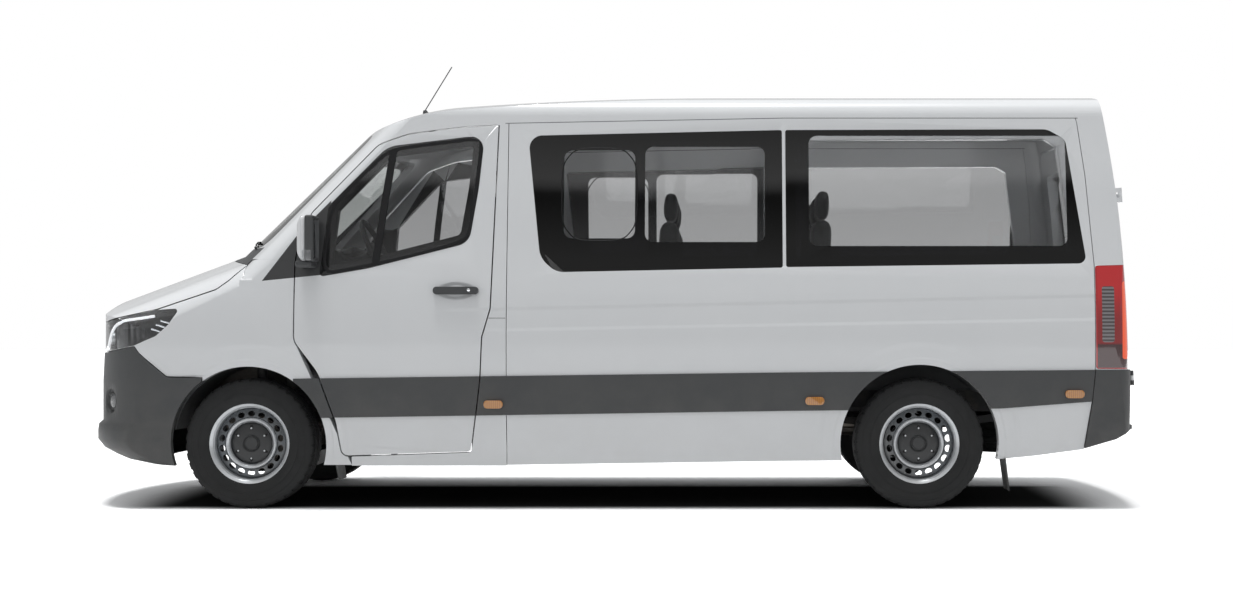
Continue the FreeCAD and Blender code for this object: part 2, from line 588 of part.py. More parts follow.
def bumper_form(inset):
    rows = [front_plan(z, NOSE + tip - inset, NOSE_CURVE, NOSE_CORNER - inset, HALF_WIDTH + MOULDING - inset, 0.0)
            for z, tip in BUMPER_LEVELS]
    return Part.makeLoft(rows, True, True).common(cross_form(inset - MOULDING, 0.0))


bumper = bumper_form(0.0).cut(bumper_form(40.0))
bumper = bumper.common(slab(from_front(BUMPER), "side", -FAR, FAR)).cut(pair(wheel_hole(FRONT_AXLE, ARCH_R)))
bumper = bumper.cut(box(0, BOUND, -GRILLE_SIDE - SEAT_GAP, GRILLE_SIDE + SEAT_GAP, 700 - SEAT_GAP, 2000))
bearing, lamp_z, floor_r, rim_r = FOG_LAMP
out = Vector(math.cos(math.radians(bearing)), math.sin(math.radians(bearing)), 0)
corner_y = HALF_WIDTH + MOULDING - NOSE_CORNER
corner_x = NOSE + 14 - NOSE_CURVE + math.sqrt((NOSE_CURVE - NOSE_CORNER) ** 2 - corner_y ** 2)
fog_room = Part.makeCone(floor_r, rim_r, 50, Vector(corner_x, corner_y, lamp_z) + out * (NOSE_CORNER - 27), out)
bumper = bumper.cut(pair(fog_room))
node("front_bumper", bumper)

# ---------------------------------------------------------------- tail
TRIM_FORM = body_form(-MOULDING, -MOULDING, -MOULDING)
corner = TRIM_FORM.cut(INNER).common(slab(halfspace(d_line, "behind"), "side", 0, FAR)).cut(tail_hole)
corner = corner.common(box(-BOUND, 0, 887, FAR, 320, 762 - SEAT_GAP))
# the bumper's underside rises to the rear
corner = corner.cut(slab(from_rear([(-800, 320, 0), (-884, 327, 0), (-1071, 382, 0), (-1180, 445, 0),
                                    (-1400, 445, 0), (-1400, 200, 0), (-800, 200, 0)]), "side", 0, FAR))
knuckle_room = rod(hinge_point(LOW_HINGE - HINGE_HALF - GAP), hinge_point(LOW_HINGE + HINGE_HALF + GAP), HINGE_R + GAP)
corner = corner.cut(knuckle_room).fuse(frame_knuckles(LOW_HINGE, 60))
STEP_CROWN, STEP_CORNER, STEP_SIDE, STEP_DEPTH = 6000.0, 60.0, HALF_WIDTH - 45, 177.0
STEP_LEVELS = [(360, 165), (382, 93), (436, 0), (455, 0)]       # height, how far its edge lies ahead
step = Part.makeLoft([back_plan(z, -LENGTH / 2 + ahead, STEP_CROWN, STEP_CORNER, STEP_SIDE, 0.0)
                      for z, ahead in STEP_LEVELS], True, True)
step = step.cut(box(-LENGTH / 2 + STEP_DEPTH, BOUND, -FAR, FAR, 0, 1000))
node("rear_bumper", step.fuse([corner, mirrored(corner)]))

# ---------------------------------------------------------------- mouldings, lamps, flaps
TRIM_SKIN = TRIM_FORM.cut(OFF_SKIN)
strip = [(FRONT_AXLE - 250, 497, 0), (FRONT_AXLE - 250, 713, 0), (FRONT_AXLE + C_LINE, 747, 0),
         (REAR_AXLE - 957, 761, 0), (REAR_AXLE - 957, 590, 0), (REAR_AXLE - 440, 550, 0),
         (FRONT_AXLE + C_LINE, 537, 0), (FRONT_AXLE - 1254, 512, 0)]
strip_form = TRIM_SKIN.common(left_of(strip))
door_strip = strip_form.common(door_block(0.0))
body_strip = strip_form.cut(door_block(GAP)).cut(behind_d_seam)
body_strip = body_strip.cut(wheel_hole(FRONT_AXLE, ARCH_R)).cut(wheel_hole(REAR_AXLE, REAR_ARCH_R))
node("side_mouldings", pair(body_strip))
pills = []
for along, height in ((FRONT_AXLE - 1340, 573), (FRONT_AXLE - 3090, 592), (REAR_AXLE - 840, 629)):
    pill = slab([(along - 52, height - 22, 20), (along + 52, height - 22, 20), (along + 52, height + 22, 20),
                 (along - 52, height + 22, 20)], "side", HALF_WIDTH - 40, HALF_WIDTH + MOULDING + 6)
    pill = pill.cut(TRIM_FORM)
    pill.translate(Vector(0, SEAT_GAP, 0))
    pills.append(pill)
node("side_marker_lamps", Part.makeCompound(pills + [mirrored(q) for q in pills]))
FLAP_IN, FLAP_OUT, FLAP_THICK = 700.0, HALF_WIDTH - 128, 8.0
flaps = []
# axle, how far behind it the flap's top and foot hang, their heights
for axle, top_back, foot_back, top, foot in ((FRONT_AXLE, 412, 478, 505, 150), (REAR_AXLE, 445, 511, 545, 90)):
    face = [(axle - top_back, top, 0), (axle - top_back + FLAP_THICK, top, 0),
            (axle - foot_back + FLAP_THICK, foot, 0), (axle - foot_back, foot, 0)]
    flaps.append(slab(face, "side", FLAP_IN, FAR).common(ROOM).fuse(slab(face, "side", FLAP_IN, FLAP_OUT)))

# ---------------------------------------------------------------- front and rear doors
door = SHELL.common(door_block(0.0))
glass_edge = from_front(DOOR_WINDOW)
door = door.cut(left_of(glass_edge, -FRAME)).cut(REBATE_SKIN.common(left_of(glass_edge)))
pane = GLASS_SKIN.common(left_of(glass_edge, -SEAT_GAP))
handle = slab(from_front([(-1257, 1172, 20), (-1012, 1172, 20), (-1012, 1214, 20), (-1257, 1214, 20)]),
              "side", 900, HALF_WIDTH + 18).cut(OFF_SKIN)
mirror_head = slab(from_front([(-330, 1335, 60), (-270, 1335, 40), (-262, 1600, 40), (-395, 1608, 60),
                               (-400, 1345, 60)]), "side", HALF_WIDTH - 10, HALF_WIDTH + 165)
mirror_foot = slab([(FRONT_AXLE - 268, 900, 0), (FRONT_AXLE - 268, 985, 0), (FRONT_AXLE - 300, 1020, 0),
                    (FRONT_AXLE - 360, 1020, 0), (FRONT_AXLE - 345, 900, 0)], "plan", 1352, 1420)
mirror = mirror_head.fuse(mirror_foot).cut(OFF_SKIN)
mirror = mirror.cut(box(FRONT_AXLE - 410, FRONT_AXLE - 380, 1010, 1150, 1365, 1590))
for side, turn in (("left", lambda q: q), ("right", mirrored)):
    node("front_door_" + side, turn(door))
    node("front_door_glass_" + side, turn(pane))
    node("mirror_" + side, turn(mirror))
    node("front_door_trim_" + side, turn(Part.makeCompound([door_strip, handle])))

BEVEL = 0.3             # how far the rear doors' meeting edges lean, so that they swing past each other
half = turned_with_tail(outline([(TAIL - 200, 5 - 200 * BEVEL, 0), (TAIL + 400, 5 + 400 * BEVEL, 0),
                                 (TAIL + 400, 1200, 0), (TAIL - 200, 1200, 0)], "plan", TAIL_FOOT))
leaf = SHELL.common(slab(REAR_DOORS, "front", -BOUND, REAR_AXLE - 800)).common(half)
hole = slab(grown(REAR_WINDOW, -40), "front", -BOUND, REAR_AXLE - 800)
edge = slab(REAR_WINDOW, "front", -BOUND, REAR_AXLE - 800)
leaf = leaf.cut(hole).cut(REBATE_SKIN.common(edge))


def door_knuckle(height, edge_y):
    """Barrel's middle with the plate that carries it, lying against the door from its edge inwards."""
    at = hinge_point(height)
    skin = TAIL + TAIL_CURVE - math.sqrt(TAIL_CURVE ** 2 - (height - TAIL_FOOT) ** 2)
    skin += edge_y ** 2 / (2 * TAIL_CROWN)
    plate = slab([(at.x - 9, at.y, 0), (at.x + 1, at.y, 0), (at.x + 1, edge_y + 22, 0), (skin + 15, edge_y, 0),
                  (skin + 15, edge_y - 40, 0), (skin - 10, edge_y - 40, 0), (skin - 12, edge_y, 0)],
                 "plan", height - KNUCKLE_HALF + PLATE_SHY, height + KNUCKLE_HALF - PLATE_SHY)
    return [Part.makeCylinder(HINGE_R, 2 * KNUCKLE_HALF, at - HINGE_LEAN * KNUCKLE_HALF, HINGE_LEAN), plate]


leaf = leaf.fuse(door_knuckle(LOW_HINGE, 860) + door_knuckle(HIGH_HINGE, 790))
back_pane = GLASS_SKIN.common(slab(grown(REAR_WINDOW, -SEAT_GAP), "front", -BOUND, REAR_AXLE - 800))
for side, turn in (("left", lambda q: q), ("right", mirrored)):
    node("rear_door_" + side, turn(leaf))
    node("rear_door_glass_" + side, turn(back_pane))

# ---------------------------------------------------------------- floor and chassis
floor = box(TAIL + WALL + 60, FRONT_AXLE - 380, -FAR, FAR, FLOOR_TOP - FLOOR_WALL, FLOOR_TOP).common(ROOM)
door_room = box(FRONT_AXLE - 1400, FRONT_AXLE, HALF_WIDTH - WALL - 25, FAR, 0, 3000)
floor = floor.cut(pair(door_room))
house = rod(Vector(REAR_AXLE, 588, TYRE_R), Vector(REAR_AXLE, FAR, TYRE_R), REAR_ARCH_R + 12)
house_room = rod(Vector(REAR_AXLE, 600, TYRE_R), Vector(REAR_AXLE, FAR, TYRE_R), REAR_ARCH_R)
house = house.common(ROOM).common(box(-BOUND, BOUND, 0, FAR, FLOOR_TOP - FLOOR_WALL, 2000))
floor = floor.fuse([house, mirrored(house)]).cut(pair(house_room))
node("floor_pan", floor)
RAIL_IN, RAIL_OUT, RAIL_TOP = 400.0, 465.0, FLOOR_TOP - FLOOR_WALL
RAIL_LOW = RAIL_TOP - size("rail_height")
SPARE_X, SPARE_Z = TAIL + 162 + TYRE_R, 375.0
rails = box(TAIL + 120, NOSE - 120, RAIL_IN, RAIL_OUT, RAIL_LOW, RAIL_TOP)
beams = [box(x - 40, x + 40, -RAIL_IN, RAIL_IN, RAIL_LOW + 20, RAIL_TOP - 10)
         for x in (TAIL + 160, SPARE_X, REAR_AXLE + 700, REAR_AXLE + 1500, FRONT_AXLE - 900, NOSE - 200)]
outriggers = [box(x - 30, x + 30, RAIL_OUT, FAR, RAIL_LOW + 30, RAIL_TOP)
              for x in (REAR_AXLE + 700, REAR_AXLE + 1500, FRONT_AXLE - 1520)]
outriggers = [q.common(ROOM) for q in outriggers]
TOW_SEAT = (130.0, 380.0, 8.0)      # flat seats for a tow bar: ahead of the tail, and how far they stand down
tow_seat = box(TAIL + TOW_SEAT[0], TAIL + TOW_SEAT[1], RAIL_IN, RAIL_OUT, RAIL_LOW - TOW_SEAT[2], RAIL_LOW)
hanger = rod(Vector(SPARE_X, 0, SPARE_Z + 0.1 * TYRE_W + SEAT_GAP), Vector(SPARE_X, 0, RAIL_LOW + 40), 20)
engine_mount = box(FRONT_AXLE + 300, FRONT_AXLE + 400, 280 + SEAT_GAP, RAIL_IN, 560, 600)
extras = outriggers + [engine_mount, tow_seat]
frame = rails.fuse([mirrored(rails), hanger] + beams + extras + [mirrored(q) for q in extras])
node("chassis_frame", frame)
LINER = 8.0             # thickness of the front wheel housings
liner = rod(Vector(FRONT_AXLE, 560, TYRE_R), Vector(FRONT_AXLE, FAR, TYRE_R), ARCH_R + LINER)
liner = liner.cut(wheel_hole(FRONT_AXLE, ARCH_R)).common(ROOM).common(box(0, BOUND, 0, FAR, 430, 2000))
node("wheel_liners", pair(Part.makeCompound([liner.cut(door_room)] + flaps)))

# ---------------------------------------------------------------- wheels, turned about their axles


def sketched(body, plane_role, corners):
    """Closed sketch on one of a body's own planes; each corner's place is a pair of sheet expressions."""
    plane = [f for f in body.Origin.OriginFeatures if f.Role == plane_role][0]
    sketch = body.newObject("Sketcher::SketchObject", body.Name + "_profile")
    sketch.AttachmentSupport = [(plane, "")]
    sketch.MapMode = "FlatFace"
    count = len(corners)
    for i in range(count):
        a, b = Vector(i, i * i, 0), Vector((i + 1) % count, ((i + 1) % count) ** 2, 0)
        sketch.addGeometry(Part.LineSegment(a, b), False)
    for i in range(count):
        sketch.addConstraint(Sketcher.Constraint("Coincident", i, 2, (i + 1) % count, 1))
    for i, (across_expr, up_expr) in enumerate(corners):
        for kind, place, start in (("DistanceX", across_expr, i), ("DistanceY", up_expr, i * i)):
            index = sketch.addConstraint(Sketcher.Constraint(kind, -1, 1, i, 1, float(start)))
            sketch.setExpression(f"Constraints[{index}]", place)
    return sketch


def placed(piece, x, y, z, turned_about_z=0.0):
    piece.Placement = FreeCAD.Placement(Vector(0, 0, 0), FreeCAD.Rotation(Vector(0, 0, 1), turned_about_z))
    for axis, value in (("x", x), ("y", y), ("z", z)):
        piece.setExpression("Placement.Base." + axis, value)


def turned_body(name, corners):
    """Body of revolution about the Y axis from corners (along the axle, radius)."""
    body = doc.addObject("PartDesign::Body", name)
    body.Label = name
    sketch = sketched(body, "YZ_Plane", corners)
    turn = body.newObject("PartDesign::Revolution", name + "_turned")
    turn.Profile = sketch
    turn.ReferenceAxis = (sketch, ["H_Axis"])
    turn.Angle = 360.0
    NODES.append(body)
    return body


TYRE = [
    ("-0.36 * Sizes.tyre_width", "Sizes.rim_radius"),
    ("-0.5 * Sizes.tyre_width", "Sizes.rim_radius + 0.45 * (Sizes.tyre_radius - Sizes.rim_radius)"),
    ("-0.44 * Sizes.tyre_width", "Sizes.tyre_radius - 24"),
    ("-0.34 * Sizes.tyre_width", "Sizes.tyre_radius - 3"),
    ("-0.15 * Sizes.tyre_width", "Sizes.tyre_radius"),
    ("0.15 * Sizes.tyre_width", "Sizes.tyre_radius"),
    ("0.34 * Sizes.tyre_width", "Sizes.tyre_radius - 3"),
    ("0.44 * Sizes.tyre_width", "Sizes.tyre_radius - 24"),
    ("0.5 * Sizes.tyre_width", "Sizes.rim_radius + 0.45 * (Sizes.tyre_radius - Sizes.rim_radius)"),
    ("0.36 * Sizes.tyre_width", "Sizes.rim_radius"),
]
RIM = [
    ("-0.36 * Sizes.tyre_width", "Sizes.rim_radius - 12"),
    ("-0.36 * Sizes.tyre_width", "Sizes.rim_radius"),
    ("0.36 * Sizes.tyre_width", "Sizes.rim_radius"),
    ("0.36 * Sizes.tyre_width + 14", "Sizes.rim_radius + 14"),
    ("0.36 * Sizes.tyre_width + 18", "Sizes.rim_radius + 12"),
    ("0.36 * Sizes.tyre_width + 3", "Sizes.rim_radius - 8"),
    ("0.36 * Sizes.tyre_width - 34", "Sizes.rim_radius - 18"),
    ("0.36 * Sizes.tyre_width - 26", "Sizes.rim_radius - 68"),
    ("0.36 * Sizes.tyre_width - 58", "112"),
    ("0.36 * Sizes.tyre_width - 22", "98"),
    ("0.36 * Sizes.tyre_width - 14", "34"),
    ("0.36 * Sizes.tyre_width - 14", "0"),
    ("0.36 * Sizes.tyre_width - 70", "0"),
    ("0.36 * Sizes.tyre_width - 70", "112"),
    ("0.36 * Sizes.tyre_width - 44", "Sizes.rim_radius - 62"),
    ("0.36 * Sizes.tyre_width - 50", "Sizes.rim_radius - 12"),
]
front_axle_x = "(Sizes.rear_overhang - Sizes.front_overhang + Sizes.wheelbase) / 2"
rear_axle_x = "(Sizes.rear_overhang - Sizes.front_overhang - Sizes.wheelbase) / 2"
for end, axle_x in (("front", front_axle_x), ("rear", rear_axle_x)):
    for side, sign, angle in (("left", "", 0.0), ("right", "-", 180.0)):
        for kind, corners in (("tyre", TYRE), ("wheel", RIM)):
            piece = turned_body(f"{kind}_{end}_{side}", corners)
            placed(piece, axle_x, sign + "Sizes.half_track", "Sizes.tyre_radius", angle)

spare = turned_body("spare_wheel", [
    ("-0.5 * Sizes.tyre_width", "Sizes.rim_radius + 60"), ("-0.42 * Sizes.tyre_width", "Sizes.tyre_radius - 20"),
    ("-0.2 * Sizes.tyre_width", "Sizes.tyre_radius"), ("0.2 * Sizes.tyre_width", "Sizes.tyre_radius"),
    ("0.42 * Sizes.tyre_width", "Sizes.tyre_radius - 20"), ("0.5 * Sizes.tyre_width", "Sizes.rim_radius + 60"),
    ("0.3 * Sizes.tyre_width", "Sizes.rim_radius"), ("0.1 * Sizes.tyre_width", "120"),
    ("0.1 * Sizes.tyre_width", "0"), ("-0.1 * Sizes.tyre_width", "0"),
    ("-0.1 * Sizes.tyre_width", "120"), ("-0.3 * Sizes.tyre_width", "Sizes.rim_radius")])
spare.Placement = FreeCAD.Placement(Vector(SPARE_X, 0, SPARE_Z), FreeCAD.Rotation(Vector(1, 0, 0), 90))

# ---------------------------------------------------------------- steering, knuckles and axles
HUB_FACE = HALF_TRACK + 0.36 * TYRE_W - 70      # where the wheel's disc meets its hub
KINGPIN = HALF_TRACK - 77.0
ARM_TOP, UPPER_ARM_LOW = TYRE_R - 125, TYRE_R + 135     # the kingpin stands between the two arms


def hub(axle, y0, y1, radius):
    return rod(Vector(axle, y0, TYRE_R), Vector(axle, y1, TYRE_R), radius)


DISC_R = size("disc_radius")
disc = hub(FRONT_AXLE, HUB_FACE - 46, HUB_FACE - 22, DISC_R)
knuckle = hub(FRONT_AXLE, HUB_FACE - 90, HUB_FACE - SEAT_GAP, 60).fuse([
    disc,
    rod(Vector(FRONT_AXLE, KINGPIN - 20, ARM_TOP + SEAT_GAP),
        Vector(FRONT_AXLE, KINGPIN - 20, UPPER_ARM_LOW - SEAT_GAP), 24),
    box(FRONT_AXLE - 40, FRONT_AXLE + 40, KINGPIN - 40, HUB_FACE - 60, TYRE_R - 60, TYRE_R + 60),
    box(FRONT_AXLE - 175, FRONT_AXLE - 95, HUB_FACE - 70, HUB_FACE - 8, TYRE_R - 60, TYRE_R + 60),
    box(FRONT_AXLE - 160, FRONT_AXLE, KINGPIN - 30, KINGPIN - 8, TYRE_R - 80, TYRE_R - 50)])
node("knuckle_left", knuckle)
node("knuckle_right", mirrored(knuckle))
arm = slab([(FRONT_AXLE - 190, 330, 30), (FRONT_AXLE + 190, 330, 30), (FRONT_AXLE + 45, KINGPIN + 5, 30),
            (FRONT_AXLE - 45, KINGPIN + 5, 30)], "plan", ARM_TOP - 40, ARM_TOP)
LINER_TOP = TYRE_R + ARCH_R            # underside of the wheel housing above the axle
STRUT_Y = KINGPIN - 95
upper_arm = box(FRONT_AXLE - 45, FRONT_AXLE + 45, STRUT_Y - 30, KINGPIN + 5, UPPER_ARM_LOW, UPPER_ARM_LOW + 30)
STRUT_R = 28.0
strut_top = TYRE_R + math.sqrt(ARCH_R ** 2 - STRUT_R ** 2) - SEAT_GAP
strut = rod(Vector(FRONT_AXLE, STRUT_Y, UPPER_ARM_LOW + 15), Vector(FRONT_AXLE, STRUT_Y, strut_top), STRUT_R)
subframe = box(FRONT_AXLE - 200, FRONT_AXLE + 200, -340, 340, TYRE_R - 175, TYRE_R - 95)
posts = [box(x - 40, x + 40, 300, 440, TYRE_R - 170, RAIL_LOW - SEAT_GAP)
         for x in (FRONT_AXLE - 170, FRONT_AXLE + 170)]
TOWER_LOW = LINER_TOP + LINER + SEAT_GAP
tower = box(FRONT_AXLE - 70, FRONT_AXLE + 70, RAIL_OUT - 25, STRUT_Y + 60, TOWER_LOW, TOWER_LOW + 20).fuse(
    box(FRONT_AXLE - 70, FRONT_AXLE + 70, RAIL_IN, RAIL_OUT, RAIL_TOP + SEAT_GAP, TOWER_LOW + 20))
left_parts = [arm, upper_arm, strut] + posts
front = subframe.fuse(left_parts + [mirrored(q) for q in left_parts])
node("front_suspension", Part.makeCompound([front, tower, mirrored(tower)]))
REAR_HUB = HUB_FACE - SEAT_GAP
beam = hub(REAR_AXLE, -REAR_HUB + 40, REAR_HUB - 40, 45)
diff = Part.makeSphere(150, Vector(REAR_AXLE, 0, TYRE_R))
drums = [hub(REAR_AXLE, REAR_HUB - 60, REAR_HUB, DISC_R), hub(REAR_AXLE, -REAR_HUB, -REAR_HUB + 60, DISC_R)]
rear_beam = beam.fuse([diff] + drums)
SPRING_EYE = RAIL_LOW - SEAT_GAP
SPRING_LOW = TYRE_R + 45 + SEAT_GAP     # the spring lies on the axle tube
spring = slab([(REAR_AXLE - 700, 500, 0), (REAR_AXLE - 640, 470, 60), (REAR_AXLE - 60, SPRING_LOW, 400),
               (REAR_AXLE + 60, SPRING_LOW, 400), (REAR_AXLE + 600, 470, 60), (REAR_AXLE + 660, SPRING_EYE, 0),
               (REAR_AXLE + 600, SPRING_EYE, 60), (REAR_AXLE + 60, TYRE_R + 82, 400), (REAR_AXLE - 60, TYRE_R + 82, 400),
               (REAR_AXLE - 600, SPRING_EYE, 60), (REAR_AXLE - 700, SPRING_EYE, 0)], "side", 400, 470)
node("rear_axle", Part.makeCompound([rear_beam, spring, mirrored(spring)]))

STEER = (FRONT_AXLE - 604, 430.0, 1420.0)
STEER_TILT = math.radians(26)
wheel_axis = Vector(-math.cos(STEER_TILT), 0, math.sin(STEER_TILT))
centre = Vector(*STEER)
ring = Part.makeTorus(size("steer_radius"), size("steer_rim"), centre, wheel_axis)
BOSS_BACK = 45.0
boss = Part.makeCylinder(75, 40, centre - wheel_axis * BOSS_BACK, wheel_axis)
spoke_a = rod(centre - wheel_axis * 20 + Vector(0, -190, 0), centre - wheel_axis * 20 + Vector(0, 190, 0), 14)
up = Vector(-wheel_axis.z, 0, wheel_axis.x)
spoke_b = rod(centre - wheel_axis * 20, centre - wheel_axis * 20 + up * 190, 14)
node("steering_wheel", ring.fuse([boss, spoke_a, spoke_b]))
column = rod(centre - wheel_axis * (BOSS_BACK + SEAT_GAP), centre - wheel_axis * 260, 38)

# ---------------------------------------------------------------- dashboard and seats
dash = slab(from_front([
    (-100.3, 1045, 0), (-300, 940, 60), (-480, 1120, 80), (-500, 1330, 60), (-420, 1430, 60), (-200, 1440, 60),
    (60, 1400, 0), (60, 1352, 0), (-100.3, 1352, 0)]), "side", -FAR, FAR).common(inside)
dash = dash.cut(pair(door_block(GAP + 6)))
node("dashboard", dash.fuse([column.cut(dash)]))
CUSHION, SEAT_H, BACK_H = size("cushion"), size("seat_height"), size("back_height")


def seat(front_x, y0, y1):
    """Cushion and back in one closed form, seen from the side, with its front edge at front_x."""
    top = FLOOR_TOP + SEAT_H
    high = FLOOR_TOP + BACK_H
    return slab([(front_x, top - CUSHION, 30), (front_x, top - 10, 50), (front_x - 380, top - 35, 40),
                 (front_x - 500, high, 40), (front_x - 590, high, 40), (front_x - 500, top - CUSHION, 60)],
                "side", y0, y1)


def frame_under(front_x, y0, y1):
    top = FLOOR_TOP + SEAT_H - CUSHION - SEAT_GAP
    legs = [box(front_x - 440, front_x - 60, y - 20, y + 20, FLOOR_TOP, top - 40) for y in (y0 + 120, y1 - 120)]
    return box(front_x - 480, front_x - 30, y0 + 20, y1 - 20, top - 40, top).fuse(legs)


ROWS = [("driver_seat", -780, 190, 670), ("passenger_bench", -780, -700, 120),
        ("second_row_bench", -1835, -760, 560), ("third_row_bench", -2700, -760, 760)]
frames = []
for name, ahead, y0, y1 in ROWS:
    node(name, seat(FRONT_AXLE + ahead, y0, y1))
    frames.append(frame_under(FRONT_AXLE + ahead, y0, y1))
node("seat_frames", Part.makeCompound(frames))

# ---------------------------------------------------------------- drive line and underside
engine = doc.addObject("Part::Box", "engine")
engine.Label = "engine"
for key, value in (("Length", "660"), ("Width", "560"), ("Height", "640"),
                   ("Placement.Base.x", front_axle_x + " + 20"), ("Placement.Base.y", "-280"),
                   ("Placement.Base.z", "400")):
    engine.setExpression(key, value)
NODES.append(engine)
gearbox = box(FRONT_AXLE - 700, FRONT_AXLE + 20 - SEAT_GAP, -130, 130, 380, 600)
shaft = rod(Vector(FRONT_AXLE - 700, 0, 470), Vector(REAR_AXLE + 149.8, 0, TYRE_R + 20), 38)
node("gearbox_and_shaft", gearbox.fuse([shaft]))
TANK_TOP = RAIL_TOP - SEAT_GAP
node("fuel_tank", slab([(REAR_AXLE + 1555, 400, 60), (REAR_AXLE + 2555, 400, 60), (REAR_AXLE + 2555, TANK_TOP, 30),
                        (REAR_AXLE + 1555, TANK_TOP, 30)], "side", -395, -90))
PIPE_Y, PIPE_Z, PIPE_R = 255.0, 425.0, 28.0
pipe_line = [Vector(x, PIPE_Y, PIPE_Z) for x in (FRONT_AXLE + 20 - SEAT_GAP, FRONT_AXLE - 1700, FRONT_AXLE - 2300,
                                                 REAR_AXLE + 260)]
pipes = [rod(pipe_line[0], pipe_line[1], PIPE_R), rod(pipe_line[2], pipe_line[3], PIPE_R)]
hangers = [box(x - 10, x + 10, PIPE_Y - 10, PIPE_Y + 10, PIPE_Z, TANK_TOP)
           for x in (FRONT_AXLE - 1100, FRONT_AXLE - 2000, REAR_AXLE + 400)]
node("exhaust", rod(pipe_line[1], pipe_line[2], 85).fuse(pipes + hangers))

# ---------------------------------------------------------------- aerial
AERIAL = (-858.0, 300.0)        # ahead of the front axle, across
reach = HEADER_FALL[1] - CROWN + math.sqrt(CROWN ** 2 - AERIAL[1] ** 2)
dip = math.asin((FRONT_AXLE + AERIAL[0] - HEADER_CENTRE.x) / reach)
seat_point = Vector(FRONT_AXLE + AERIAL[0], AERIAL[1], HEADER_CENTRE.z + reach * math.cos(dip))
normal = Vector(math.tan(dip), AERIAL[1] / CROWN, 1).normalize()
foot = Part.makeCone(24, 9, 34, seat_point + normal * SEAT_GAP, normal)
mast = rod(seat_point + normal * 30, Vector(FRONT_AXLE - 1008, AERIAL[1], 2515), 3)
node("aerial", foot.fuse([mast]))

# ---------------------------------------------------------------- checks and export
doc.recompute()
for item in doc.Objects:
    if {"Invalid", "Error"} & set(item.State):
        raise RuntimeError(f"{item.Label} failed: {item.State}")
for item in NODES:
    if item.Shape.isNull() or not item.Shape.isValid() or not item.Shape.Solids:
        raise RuntimeError(f"{item.Label} has no valid solid")
os.makedirs("parts", exist_ok=True)
for item in NODES:
    item.Shape.exportStep(f"parts/{item.Label}.step")
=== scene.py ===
import json
import math

import bmesh
import bpy
from mathutils import Matrix, Vector
from mathutils.bvhtree import BVHTree


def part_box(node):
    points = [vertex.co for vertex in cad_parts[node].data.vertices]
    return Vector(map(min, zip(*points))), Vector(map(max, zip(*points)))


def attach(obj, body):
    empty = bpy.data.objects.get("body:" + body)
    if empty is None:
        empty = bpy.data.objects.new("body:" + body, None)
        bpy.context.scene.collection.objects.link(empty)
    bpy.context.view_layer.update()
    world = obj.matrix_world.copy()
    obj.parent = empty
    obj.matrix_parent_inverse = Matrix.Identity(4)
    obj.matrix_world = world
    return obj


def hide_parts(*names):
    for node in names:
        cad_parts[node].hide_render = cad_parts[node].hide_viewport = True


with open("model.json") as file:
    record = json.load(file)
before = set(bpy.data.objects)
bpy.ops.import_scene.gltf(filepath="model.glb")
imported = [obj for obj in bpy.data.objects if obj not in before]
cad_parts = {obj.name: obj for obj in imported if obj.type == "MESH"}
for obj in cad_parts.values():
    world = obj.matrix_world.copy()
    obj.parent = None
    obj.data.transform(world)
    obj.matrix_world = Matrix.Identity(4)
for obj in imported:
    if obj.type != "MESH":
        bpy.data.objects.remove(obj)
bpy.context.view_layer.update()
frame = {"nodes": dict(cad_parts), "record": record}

nodes = frame["nodes"]

# ------------------------------------------------------------------ studio
# A white floor under a soft overhead light, with a nearly black shadow painted into its colour beneath the
# vehicle.  The sky is plain for lighting the vehicle, white behind it, and has a soft bright band for the
# paint and the glass to reflect.
scene = bpy.context.scene
scene.view_settings.view_transform = "Standard"


def link(tree, source, target):
    tree.links.new(source, target)


def add(tree, kind, inputs=None, **settings):
    """Shader node with its settings, and with values or sockets put into its inputs."""
    made = tree.nodes.new(kind)
    for key, value in settings.items():
        setattr(made, key, value)
    for key, value in (inputs or {}).items():
        if isinstance(value, bpy.types.NodeSocket):
            link(tree, value, made.inputs[key])
        else:
            made.inputs[key].default_value = value
    return made


def sums(tree, operation, *terms):
    """One sum on values or sockets."""
    return add(tree, "ShaderNodeMath", dict(enumerate(terms)), operation=operation).outputs[0]


def all_of(tree, *masks):
    """Product of masks: 1 only where each of them is 1."""
    last = masks[0]
    for mask in masks[1:]:
        last = sums(tree, "MULTIPLY", last, mask)
    return last


def rise(tree, value, low, high):
    """Soft step: 0 where the value is at low, 1 where it is at high."""
    ends = {"Value": value, "From Min": low, "From Max": high}
    return add(tree, "ShaderNodeMapRange", ends, interpolation_type="SMOOTHSTEP").outputs["Result"]


def blend_of(tree, mask, first, second):
    """Colour that goes from first to second as the mask rises."""
    made = add(tree, "ShaderNodeMix", {"Factor": mask, "A": first, "B": second}, data_type="RGBA")
    return made.outputs["Result"]


def place_on(tree):
    """The place on the vehicle, in metres, and its X, Y and Z."""
    spot = add(tree, "ShaderNodeTexCoord").outputs["Object"]
    split = add(tree, "ShaderNodeSeparateXYZ", {0: spot})
    return spot, split.outputs["X"], split.outputs["Y"], split.outputs["Z"]


def ray_mask(tree, *names):
    """1 for rays of the named kinds, otherwise 0."""
    path = add(tree, "ShaderNodeLightPath")
    last = path.outputs[names[0]]
    for name in names[1:]:
        last = sums(tree, "MAXIMUM", last, path.outputs[name])
    return last


def empty_tree(owner):
    """Shader tree of a material or a world, with nothing in it."""
    owner.use_nodes = True
    owner.node_tree.nodes.clear()
    return owner.node_tree


def new_object(name, data):
    """Object put into the scene."""
    made = bpy.data.objects.new(name, data)
    scene.collection.objects.link(made)
    return made


def mesh_of(work, name):
    """Mesh with a bmesh's shape; the bmesh is freed."""
    made = bpy.data.meshes.new(name)
    work.to_mesh(made)
    work.free()
    return made


